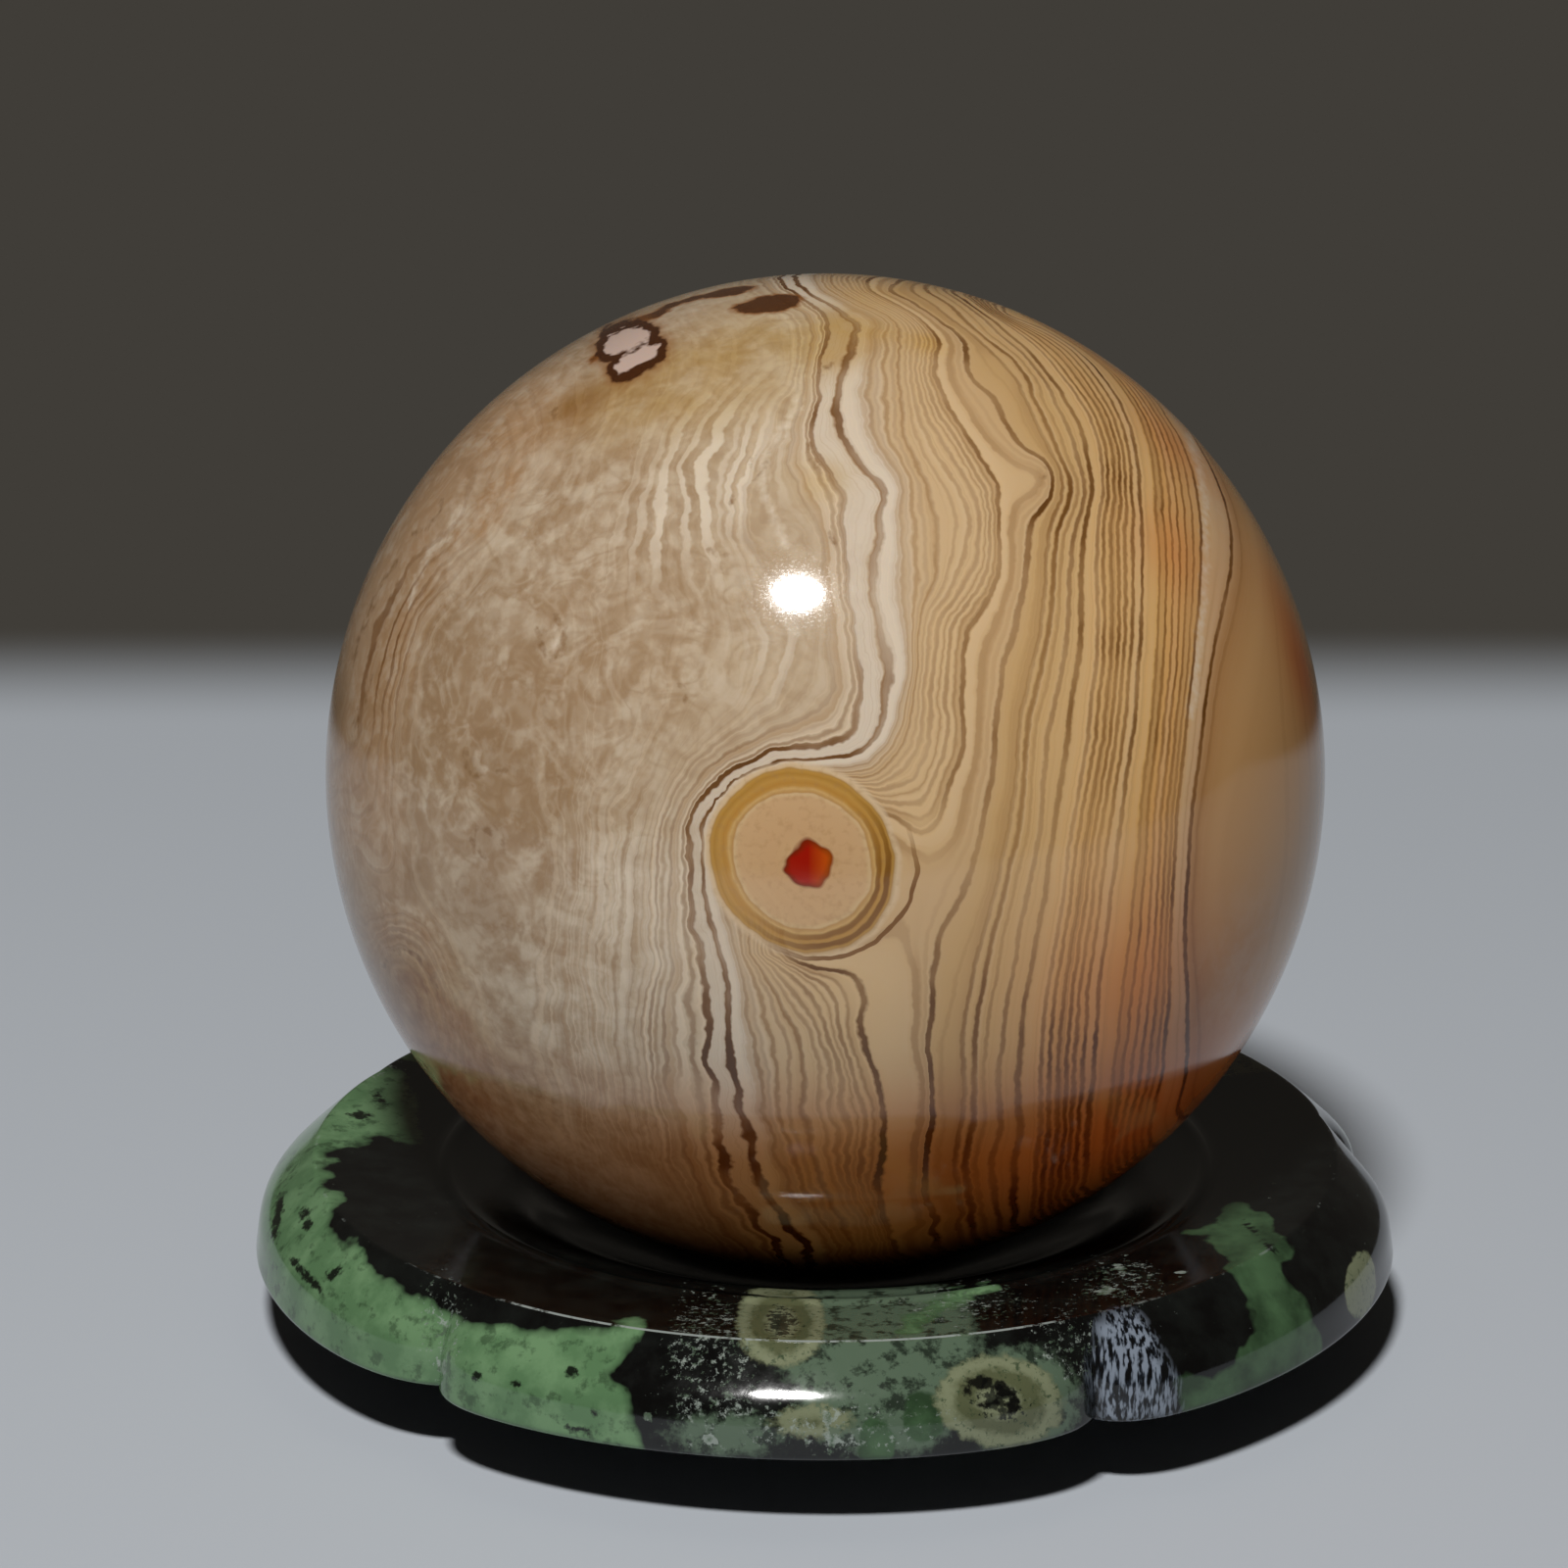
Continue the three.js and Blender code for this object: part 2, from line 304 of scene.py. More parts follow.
# How strong the moss and the mottling of the left side are, and how clear lines are where they are least so.
# Places across the banding between which clear lines begin, and to the left of 0 the mottling and, on the
# hidden side, the moss.
MOSS_STRENGTH = 0.5
LEFT_MOTTLE = 0.3
LEAST_CLARITY = 0.2
CLEAR_FROM = (-4, 2)
MOTTLED_FROM = (-1, 3)
HIDDEN_MOSS_FROM = (4, 12)
# Between these places the lines fade by this share into the plain stone of the right edge, and on the hidden
# side by less
SMOOTH_SIDE = (24.4, 25.4)
SMOOTHING = 0.85
HIDDEN_SMOOTH = 0.3
# Light that comes through the underside is painted as a warm glow between these depths below the centre in
# ball radii, and only this share of it through the cloudy left half, which ends between these two places from
# the centre
UNDERGLOW_DEPTHS = (0.22, 0.54)
LEFT_UNDERGLOW_SHARE = 0.65
LEFT_HALF = (-0.6, -0.1)
# Depths in markings are kept to this many millimetres, and fall off this steeply past the limb. Two levels of
# facing the camera, from 0 at the limb, between which the ball and the stand count as seen.
DEEPEST = 3
MARKING_FADE = 1.5
BALL_SEEN = (-0.1, 0.1)
STAND_SEEN = (-0.12, 0.1)

# Pale ribbons and dark curls on the left: half width and points in pixels
PALE_STROKES = (
    (4.5, ((817, 376), (814, 415), (796, 442), (780, 467), (778, 499), (794, 537), (800, 556))),
    (3, ((566, 642), (569, 655), (562, 664))), (2, ((486, 767), (486, 780), (496, 788))),
    (1.6, ((385, 925), (402, 920), (420, 928), (438, 942), (452, 960))),
    (2.5, ((470, 520), (458, 545), (440, 562), (425, 590), (418, 620))),
    (3.5, ((1213, 445), (1224, 480), (1229, 520), (1230, 560), (1227, 620), (1221, 680), (1215, 730))),
)
DARK_STROKES = (
    (3.4, ((567, 629), (575, 640), (577, 652), (572, 664), (562, 672))),
    (2.6, ((548, 640), (552, 654), (556, 668))), (2.4, ((692, 696), (699, 705), (698, 716))),
    (2, ((475, 762), (472, 775), (478, 788), (490, 793), (516, 786))),
    (1.6, ((484, 765), (482, 777), (490, 786))), (3, ((486, 842), (482, 856), (486, 870), (494, 876))),
    (2.4, ((504, 840), (514, 858), (513, 870))), (4, ((494, 846), (500, 850))),
    (1.5, ((505, 945), (515, 945), (526, 949))), (2.2, ((453, 510), (447, 525), (435, 538), (422, 546))),
    (2.2, ((383, 612), (372, 635), (365, 655), (360, 680))),
    (1.6, ((405, 572), (392, 590), (380, 615), (371, 645))),
    (2, ((380, 690), (372, 710), (365, 730), (360, 750))),
    (2.4, ((392, 985), (395, 975), (405, 970), (418, 972), (430, 980), (440, 992), (446, 1008))),
    (2, ((790, 452), (784, 464), (778, 482), (770, 490))), (1.6, ((768, 466), (766, 478))),
    (2, ((722, 562), (735, 568), (746, 565))), (2.6, ((836, 384), (842, 376), (848, 372))),
    (2.4, ((567, 416), (564, 424), (566, 428))), (2.2, ((748, 505), (746, 516))),
    (3, ((826, 452), (830, 470), (838, 482))), (2.6, ((846, 545), (851, 556), (848, 566))),
    (1.8, ((570, 790), (574, 806))), (2, ((1068, 476), (1062, 490))),
)

# The eye, its red core and the loop below it: centre in pixels and half size in millimetres, as the
# photograph sees them. Their size toward the camera is so large that depth hardly counts in them.
OVAL_DEPTH = 1000
EYE_CENTRE = (819, 878)
EYE_HALF_SIZE = (5.4, 4.9)
# Colours of its rings and strength of the dark arcs at places from its centre to its edge, which is 1, and
# how far the rings waver there
RING_WOBBLE = 0.022
EYE_RINGS = (
    (0, "#CCA678"), (0.3, "#C8A074"), (0.7, "#CAA478"), (0.745, "#D0B084"), (0.765, "#B88C54"),
    (0.8, "#CBA468"), (0.83, "#BC8C46"), (0.86, "#B6843C"), (0.91, "#BC8E46"), (0.955, "#AE8038"),
    (0.985, "#BA8C42"), (1, "#B08646"), (1.02, "#D2B48C"), (1.1, "#DCC4A6"),
)
EYE_ARCS = (
    (0, 0), (0.8, 0), (0.82, 0.8), (0.86, 0.8), (0.88, 0.05), (0.905, 0.1), (0.92, 0.9), (0.965, 0.9),
    (0.985, 0.1), (1.02, 0.2), (1.05, 0),
)
CORE_CENTRE = (827, 882)
CORE_HALF_SIZE = (1.42, 1.4)
LOOP_CENTRE = (836, 882)
LOOP_HALF_SIZE = (5.5, 5.3)
LOOP_HALF_WIDTH = 0.024
LOOP_DARK_SIDE = (0.62, -0.78, 0)

# Dark iron spots: centre in pixels and radius in millimetres
STAINS = (
    (788, 309, 1.6), (770, 312, 1.2), (748, 297, 1.2), (734, 299, 1.1), (706, 305, 0.8), (684, 312, 0.8),
    (668, 321, 0.9), (652, 326, 0.6), (608, 365, 0.35),
)
# The two lobes of the pale cell beside them, outlined in pixels
CELL_LOBES = (
    ((617, 354), (622, 341), (640, 335), (656, 335), (664, 340), (661, 347), (652, 352), (646, 358),
     (634, 360), (618, 362)),
    ((628, 376), (632, 366), (648, 359), (660, 352), (673, 352), (671, 361), (656, 371), (640, 379),
     (630, 381)),
)

# Sizes of the stand in millimetres, the same as those that its solid has
LOBE_COUNT = 5
LOBE_ANGLE = 360 / LOBE_COUNT
LOBE_RADIUS = 34.84
NOTCH_DEPTH = 2.1
NOTCH_SIDE_BEFORE = 5
NOTCH_SIDE_AFTER = 3
FIRST_NOTCH = 10.5
NOTCH_RUN_OUT = 30.5
UNDERSIDE_HEIGHT = 4.35
CREASE_HEIGHT = 10.35
CREASE_INSET = 3.64
SHOULDER_STEEPNESS = 50
SHOULDER_PULL = 4.5
EDGE_RADIUS = 0.4
EDGE_LEAN = 8
EDGE_PULL = 2.6
LIP_RADIUS = 23.2
LIP_HEIGHT = 0.12
LIP_ROUNDING = 1.1
DISH_FLOOR = 4.05
SEAT_RADIUS = 41
SEAT_REACH = 18
SLOPE_START = 22
SLOPE_START_HEIGHT = 9.4
FOOT_RADIUS = 19
FOOT_FILLET = 1.2
FOOT_CHAMFER = 0.4
SHARP_ANGLE = 32
# Distances in millimetres and turns in lobes that count as none
SAME_POINT = 1e-6
WELD_DISTANCE = 5e-4
SAME_TURN = 1e-9

# Colours of the stand's stone
STONE_BLACK = "#060606"
STONE_BLACK_SOFT = "#141715"
STONE_GREY_DARK = "#2B362B"
STONE_GREY_GREEN = "#566855"
STONE_GREEN = "#587A54"
STONE_GREEN_PALE = "#6C8E66"
STONE_GREEN_DEEP = "#2A3E28"
STONE_OLIVE = "#565B40"
STONE_OLIVE_PALE = "#7C8266"
STONE_SLATE = "#1A1F26"
STONE_FIBRE = "#848E9C"
STONE_GRAIN = "#98A29A"
STONE_WORN = "#98A19E"
STONE_IOR = 1.55
# The worn line lies a little inside the crease. The flat underside counts as this far away from it. How much
# of the line is worn goes from the first share on the far side to the second at the front.
WORN_INSET = 0.04
WORN_HALF_WIDTH = 0.09
UNDERSIDE_APART = 2
WORN_SHARES = (0.3, 0.9)

# Noises of the stone: cycles per millimetre, detail and roughness
STONE_NOISES = {
    "tone": (0.35, 5, 0.6), "edge": (0.5, 2, 0.5), "fray": (1.6, 4, 0.65), "blotch": (0.9, 5, 0.65),
    "speckle": (2.2, 4, 0.7), "grain": (2.4, 4, 0.75), "wear": (0.7, 5, 0.65), "scratch": (3.5, 3, 0.6),
}
FIBRE_STRETCH = (4.2, 0.8, 4.2)
ORB_RINGS = 3.6
# Share of whitish grain where it is rare and thick, and depths in markings between which it thickens, a white
# spot shows and the crease is worn
GRAIN_RARE = 0.27
GRAIN_THICK = 0.43
GRAIN_EDGE = (-1.5, 1)
WHITE_EDGE = (-0.15, 0.15)
WORN_EDGE = (-0.5, 0.5)

# Markings on the front of the stand, followed on the photograph, in its pixels
GREEN_OUTLINES = (
    ((415, 1095), (380, 1080), (300, 1130), (240, 1200), (240, 1300), (300, 1420), (440, 1450), (560, 1490),
     (670, 1500), (658, 1478), (648, 1450), (642, 1415), (622, 1405), (625, 1395), (632, 1385), (655, 1365),
     (658, 1350), (645, 1346), (620, 1356), (600, 1352), (570, 1358), (540, 1358), (500, 1352), (480, 1348),
     (462, 1342), (450, 1338), (440, 1325), (420, 1318), (400, 1312), (385, 1303), (375, 1295), (372, 1275),
     (366, 1263), (355, 1270), (345, 1264), (336, 1250), (340, 1238), (348, 1228), (352, 1216), (332, 1216),
     (328, 1205), (336, 1200), (330, 1192), (345, 1186), (333, 1178), (350, 1170), (365, 1165), (380, 1161),
     (395, 1165), (410, 1170), (436, 1168)),
    ((920, 1345), (935, 1338), (960, 1325), (985, 1312), (1010, 1306), (1020, 1315), (1000, 1322),
     (975, 1335), (950, 1345), (935, 1360), (915, 1362)),
)
VEIN_OUTLINES = (
    ((1211, 1259), (1228, 1252), (1244, 1247), (1246, 1236), (1262, 1226), (1276, 1228), (1290, 1240),
     (1303, 1254), (1315, 1268), (1318, 1280), (1303, 1288), (1312, 1304), (1325, 1325), (1336, 1346),
     (1342, 1364), (1346, 1388), (1330, 1402), (1290, 1420), (1250, 1440), (1215, 1446), (1203, 1430),
     (1201, 1412), (1209, 1404), (1225, 1404), (1232, 1413), (1240, 1414), (1250, 1402), (1262, 1390),
     (1270, 1375), (1276, 1358), (1275, 1340), (1272, 1325), (1265, 1310), (1258, 1298), (1250, 1285),
     (1242, 1272), (1230, 1262)),
)
GREEN_ELLIPSES = ((970, 1322, 26, 8, -14),)
VEIN_ELLIPSES = ((895, 1470, 20, 26, 0), (940, 1448, 22, 26, 10))
OLIVE_ELLIPSES = ((797, 1350, 46, 46, 0), (1020, 1430, 66, 48, 8), (830, 1450, 42, 18, 0))
# The olive patch on the right has a smooth edge and no rings, as its depth rises fast and ends early
SMOOTH_OLIVE = ((1388, 1311, 16, 35, 4),)
SMOOTH_RISE = 4
SMOOTH_DEPTH = 0.45
DARK_OUTLINES = (((295, 1281), (303, 1285), (330, 1314), (328, 1322), (316, 1312), (296, 1290)),)
DARK_ELLIPSES = (
    (389, 1122, 12, 4, 40), (368, 1138, 12, 5, 0), (311, 1239, 5, 8, 20), (314, 1250, 5, 9, -10),
    (283, 1240, 5, 22, 8), (340, 1300, 14, 5, -25), (1275, 1252, 3.5, 11, -48), (1295, 1272, 3.5, 11, -48),
    (487, 1405, 5, 4, 0), (525, 1413, 5, 4, 0), (583, 1400, 7, 5, 20), (607, 1442, 5, 4, 0),
    (592, 1460, 16, 5, 8), (1000, 1411, 15, 7, 8), (1022, 1418, 13, 8, 35), (1034, 1433, 8, 9, 20),
    (988, 1421, 6, 5, 0), (1003, 1433, 5, 4, 0), (1016, 1431, 4, 4, 0),
)
GROUND_ELLIPSES = (
    (890, 1365, 110, 70, 0), (900, 1420, 90, 70, 0), (740, 1465, 60, 24, 0), (1040, 1430, 66, 58, 0),
)
FIBRE_OUTLINES = (
    ((1116, 1350), (1132, 1338), (1158, 1334), (1176, 1352), (1192, 1385), (1206, 1420), (1204, 1446),
     (1190, 1455), (1118, 1462), (1110, 1410)),
)
GRAIN_ELLIPSES = (
    (725, 1400, 44, 90, 0), (1145, 1310, 40, 26, 0), (1090, 1375, 30, 40, 0), (450, 1352, 22, 50, 0),
    (860, 1455, 90, 26, 0), (985, 1330, 60, 22, 0), (760, 1440, 50, 30, 0),
)
WHITE_ELLIPSES = (
    (850, 1465, 5, 7, 0), (1128, 1317, 5, 2.5, -20), (725, 1470, 4, 4, 0), (1142, 1293, 2.5, 2.5, 0),
    (845, 1447, 3, 6, 10), (661, 1446, 4, 3, 0), (452, 1395, 3, 5, 0), (1205, 1299, 2.5, 2.5, 0),
)
WORN_ELLIPSES = ((780, 1350, 300, 60, 0),)

# Markings that are guessed on the stand's far side: turn from +X in degrees, distance, height and reach in mm
GREEN_BACK = ((100, 34, 8, 8), (60, 36, 5, 6), (140, 33, 9, 6), (118, 26, 10, 4), (20, 35, 6, 4))
OLIVE_BACK = ((80, 33, 9, 3.2), (35, 34, 8, 3.6))
DARK_BACK = ((104, 35, 7, 1.4), (92, 33, 9, 1.0), (62, 35, 5, 1.2))
GROUND_BACK = ((40, 34, 8, 9), (80, 33, 7, 7), (0, 0, 0, 16))
GRAIN_BACK = ((50, 34, 8, 7), (155, 34, 7, 5))

# The table top in millimetres, the light and the surround
TABLE_WIDTH = 900
TABLE_FRONT = -420
TABLE_BACK = 144
TABLE_FADE = 27
TABLE_COLOUR = "#C0C6CE"
TABLE_ROUGHNESS = 0.6
KEY_DIRECTION = (-0.1, -0.52, 0.847)
KEY_DISTANCE = 1.0
KEY_COLOUR = (1.0, 0.99, 0.97)
SURROUND_COLOUR = "#403D38"
DIFFUSE_SHARE = 0.3


def linear(shade):
    """Linear RGBA of an sRGB hex colour such as "#C9B59C", or of a plain level of white. Anything else is
    linear already."""
    if isinstance(shade, str):
        channels = [int(shade[i:i + 2], 16) / 255 for i in (1, 3, 5)]
        return (*(c / 12.92 if c <= 0.04045 else ((c + 0.055) / 1.055) ** 2.4 for c in channels), 1)
    return (shade, shade, shade, 1) if isinstance(shade, (int, float)) else shade


def add_node(tree, kind, inputs=None, output=0, **settings):
    """Adds a shader node with its settings and gives back one of its outputs. inputs gives each socket, by
    name or number, a value or the output that feeds it. A MapRange takes value 0 from levels 1 and 2 to 3
    and 4, which are 0 and 1 unless given. A Mix lays colour 7 over colour 6 by share 0."""
    node = tree.nodes.new("ShaderNode" + kind)
    for name, value in settings.items():
        setattr(node, name, value)
    for socket, value in (inputs or {}).items():
        if isinstance(value, bpy.types.NodeSocket):
            tree.links.new(value, node.inputs[socket])
        else:
            node.inputs[socket].default_value = value
    return node.outputs[output] if len(node.outputs) else None


def to_pixels(points):
    """Pixels of the photograph, across and down, at which points of the frame in metres are seen, and how
    far toward the camera each lies from the plane through the ball's centre."""
    across, up, toward = ((points - np.array(BALL_CENTRE)) @ VIEW_AXES.T).T
    scale = FOCAL_PIXELS / (CAMERA_DISTANCE - toward)
    return BALL_CENTRE_PIXEL[0] + across * scale, BALL_CENTRE_PIXEL[1] - up * scale, toward


def on_ball(pixels):
    """Points on the front of the ball, from its centre in ball radii, that are seen at these pixels."""
    pixels = np.array(pixels, float)
    across = (pixels[:, 0] - BALL_CENTRE_PIXEL[0]) / FOCAL_PIXELS
    up = (BALL_CENTRE_PIXEL[1] - pixels[:, 1]) / FOCAL_PIXELS
    distance = CAMERA_DISTANCE / BALL_RADIUS
    spread = 1 + across ** 2 + up ** 2
    root = np.sqrt(np.maximum(distance ** 2 - spread * (distance ** 2 - 1), 0))
    reach = (distance - root) / spread
    seen = np.stack((across * reach, up * reach, distance - reach), axis=1)
    seen /= np.linalg.norm(seen, axis=1, keepdims=True)
    return seen @ VIEW_AXES


def spread_values(places, values, targets):
    """Values at the target points of the smoothest field that passes through the values at the places."""
    def kernel(a, b):
        """How much each place in b counts at each point in a, by the distance between them."""
        squares = (a ** 2).sum(1)[:, None] + (b ** 2).sum(1)[None, :] - 2 * a @ b.T
        squares = np.maximum(squares, SMALLEST_SQUARE)
        return squares * np.log(squares) / 2

    count = len(places)
    flat = np.hstack((np.ones((count, 1)), places))
    system = np.zeros((count + 4, count + 4))
    system[:count, :count] = kernel(places, places) + FIELD_SMOOTHING * np.eye(count)
    system[:count, count:] = flat
    system[count:, :count] = flat.T
    weights = np.linalg.solve(system, np.concatenate((values, np.zeros(4))))
    return np.concatenate([
        kernel(part, places) @ weights[:count] + weights[count] + part @ weights[count + 1:]
        for part in np.array_split(targets, FIELD_PARTS)
    ])


def along_line(corners, spacing):
    """Points at an even spacing along a line of straight runs between corners."""
    corners = np.array(corners, float)
    runs = np.linalg.norm(np.diff(corners, axis=0), axis=1)
    reach = np.concatenate(((0,), np.cumsum(runs)))
    stops = np.linspace(0, reach[-1], max(2, round(reach[-1] / spacing)))
    return np.stack([np.interp(stops, reach, corners[:, axis]) for axis in (0, 1)], axis=1)


def gap_to_run(across, down, start, end):
    """Distance from points to the straight run between two others, all in pixels."""
    run = np.subtract(end, start)
    share = np.clip(((across - start[0]) * run[0] + (down - start[1]) * run[1]) / (run @ run), 0, 1)
    return np.hypot(across - start[0] - share * run[0], down - start[1] - share * run[1])


def depth_inside(across, down, outline):
    """Distance in pixels from points to the edge of an outline, more than 0 for points inside it."""
    nearest, inside = np.inf, np.zeros(len(across), bool)
    for (x0, y0), (x1, y1) in zip(outline, outline[1:] + outline[:1]):
        nearest = np.minimum(nearest, gap_to_run(across, down, (x0, y0), (x1, y1)))
        if y1 != y0:
            crosses = (y0 > down) != (y1 > down)
            inside ^= crosses & (across < x0 + (down - y0) * (x1 - x0) / (y1 - y0))
    return np.where(inside, nearest, -nearest)


def marking_depth(across, down, outlines=(), ellipses=(), strokes=()):
    """Depth in millimetres of points in markings drawn in pixels, less than 0 outside them. An outline has
    its corners, an ellipse its centre across and down, half width, half height and turn in degrees, and a
    stroke its half width and the points that it runs through."""
    depths = [depth_inside(across, down, outline) for outline in outlines]
    for x, y, half_width, half_height, turn in ellipses:
        cosine, sine = math.cos(math.radians(turn)), math.sin(math.radians(turn))
        u = ((across - x) * cosine + (down - y) * sine) / half_width
        v = ((down - y) * cosine - (across - x) * sine) / half_height
        depths.append((1 - np.hypot(u, v)) * min(half_width, half_height))
    for half_width, line in strokes:
        depths += [half_width - gap_to_run(across, down, *run) for run in zip(line, line[1:])]
    return functools.reduce(np.maximum, depths) / PIXELS_PER_MM


def smooth_step(value, low, high):
    """Goes smoothly from 0 to 1 as the value goes from low to high."""
    share = np.clip((value - low) / (high - low), 0, 1)
    return share * share * (3 - 2 * share)


def spots_on_ball(points, spots):
    """Sum of soft round spots on the front of the ball: centre across and down in pixels, reach in pixels
    and strength."""
    total = 0
    for x, y, reach, strength in spots:
        gap = np.linalg.norm(points - on_ball([(x, y)]), axis=1) * BALL_RADIUS_PIXELS
        total += strength * np.exp(-gap ** 2 / (2 * reach ** 2))
    return np.clip(total, 0, 1)


def as_mesh(shape, name):
    """Turns a bmesh into a mesh and frees it."""
    mesh = bpy.data.meshes.new(name)
    shape.to_mesh(mesh)
    shape.free()
    return mesh


def vectors(items, name):
    """A vector of each item of a mesh, in rows."""
    flat = np.empty(len(items) * 3)
    items.foreach_get(name, flat)
    return flat.reshape(-1, 3)


def set_values(mesh, **values):
    """Gives the mesh's points values by name, which its material reads."""
    for name, value in values.items():
        mesh.attributes.new(name, "FLOAT", "POINT").data.foreach_set("value", value.astype(np.float32))


def finish_piece(name, mesh, material, node):
    """Links a piece of the object in place of the node that it stands for."""
    piece = bpy.data.objects.new(name, mesh)
    bpy.context.scene.collection.objects.link(piece)
    mesh.materials.append(material)
    mesh.shade_smooth()
    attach(piece, "root")
    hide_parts(node)


def new_material(name):
    """An empty node material, and the function that adds nodes to it."""
    material = bpy.data.materials.new(name)
    material.use_nodes = True
    material.node_tree.nodes.clear()
    return material, functools.partial(add_node, material.node_tree)


def view_millimetres(add):
    """Object coordinates in millimetres from the ball's centre, turned so that the first two run across and
    up as the photograph sees them and the third toward the camera. They are fixed to the object."""
    turn = CAMERA_ELEVATION - math.pi / 2
    return add("Mapping", {
        "Vector": add("TexCoord", output="Object"), "Rotation": (turn, 0, 0),
        "Location": -(Matrix.Rotation(turn, 3, "X") @ BALL_CENTRE) / MM, "Scale": (1 / MM,) * 3,
    })


def view_place(x, y):
    """Where view_millimetres has the point of the ball that is seen at this pixel."""
    return Vector(VIEW_AXES @ on_ball([(x, y)])[0]) * BALL_RADIUS / MM


def pattern_values(add, millimetres, mesh, noises):
    """Values by name: the mesh's own, and noises from their scale, detail, roughness and distortion."""
    value = {
        item.name: add("Attribute", output="Fac", attribute_name=item.name)
        for item in mesh.attributes if item.data_type == "FLOAT"
    }
    for name, settings in noises.items():
        sockets = dict(zip(("Scale", "Detail", "Roughness", "Distortion"), settings))
        value[name] = add("TexNoise", {"Vector": millimetres, **sockets})
    return types.SimpleNamespace(**value)


def ramp_colour(add, place, stops):
    """Colour of a ramp at a place. Each stop has its own place and its colour."""
    low, high = stops[0][0], stops[-1][0]
    colour = add("ValToRGB", {0: add("MapRange", {0: place, 1: low, 2: high})})
    elements = colour.node.color_ramp.elements
    elements.remove(elements[1])
    for number, (stop, shade) in enumerate(stops):
        share = (stop - low) / (high - low)
        element = elements.new(share) if number else elements[0]
        element.position = share
        element.color = linear(shade)
    return colour


def layered(add, colour, layers):
    """A colour with others laid over it in turn. A layer has its share and its colour, or a value, the two
    levels between which it comes in, its greatest share and its colour."""
    colour = linear(colour)
    for share, *levels, shade in layers:
        if levels:
            low, high, most = levels
            share = add("MapRange", {0: share, 1: low, 2: high, 4: most})
        colour = add("Mix", {0: share, 6: colour, 7: linear(shade)}, 2, data_type="RGBA")
    return colour


def wavered(add, value, noise, reach):
    """A value that a noise moves by up to the reach either way."""
    swing = add("MapRange", {0: noise, 1: NOISE_LOW, 2: NOISE_HIGH, 3: -reach, 4: reach})
    return add("Math", {0: value, 1: swing})


def line_marks(add, place, crowding, lines):
    """How strongly fine lines show, given their places, strengths and widths in millimetres. Ramps hold
    the gap to the nearest line in red, its strength in green and half its width in blue. Lines keep their
    width where the bands lie wide apart. A ramp holds few stops, so several ramps share the lines."""
    total = 0.0
    for start in range(0, len(lines), LINES_PER_RAMP):
        group = lines[start:start + LINES_PER_RAMP]
        around = [lines[max(start - 1, 0)], *group, lines[min(start + len(group), len(lines) - 1)]]
        stops = []
        for before, (middle, strength, width), after in zip(around, around[1:], around[2:]):
            left = min((middle - before[0]) / 2, LINE_REACH) or LINE_REACH
            right = min((after[0] - middle) / 2, LINE_REACH) or LINE_REACH
            rest = (strength, width / 2, 1)
            stops += [
                (middle - left + RAMP_STEP, (left / LINE_REACH, *rest)), (middle, (0, *rest)),
                (middle + right - RAMP_STEP, (right / LINE_REACH, *rest)),
            ]
        stops.insert(0, (stops[0][0] - RAMP_STEP, (1, 0, 0, 1)))
        stops.append((stops[-1][0] + RAMP_STEP, (1, 0, 0, 1)))
        gap, strength, half = add("SeparateColor", {0: ramp_colour(add, place, stops)}).node.outputs
        gap = add("Math", {0: gap, 1: crowding}, operation="DIVIDE")
        inside = add("Math", {0: gap, 1: -LINE_REACH, 2: half}, operation="MULTIPLY_ADD")
        shown = add("MapRange", {0: inside, 1: -LINE_SOFTNESS, 2: LINE_SOFTNESS})
        total = add("Math", {0: shown, 1: strength, 2: total}, operation="MULTIPLY_ADD")
    return total


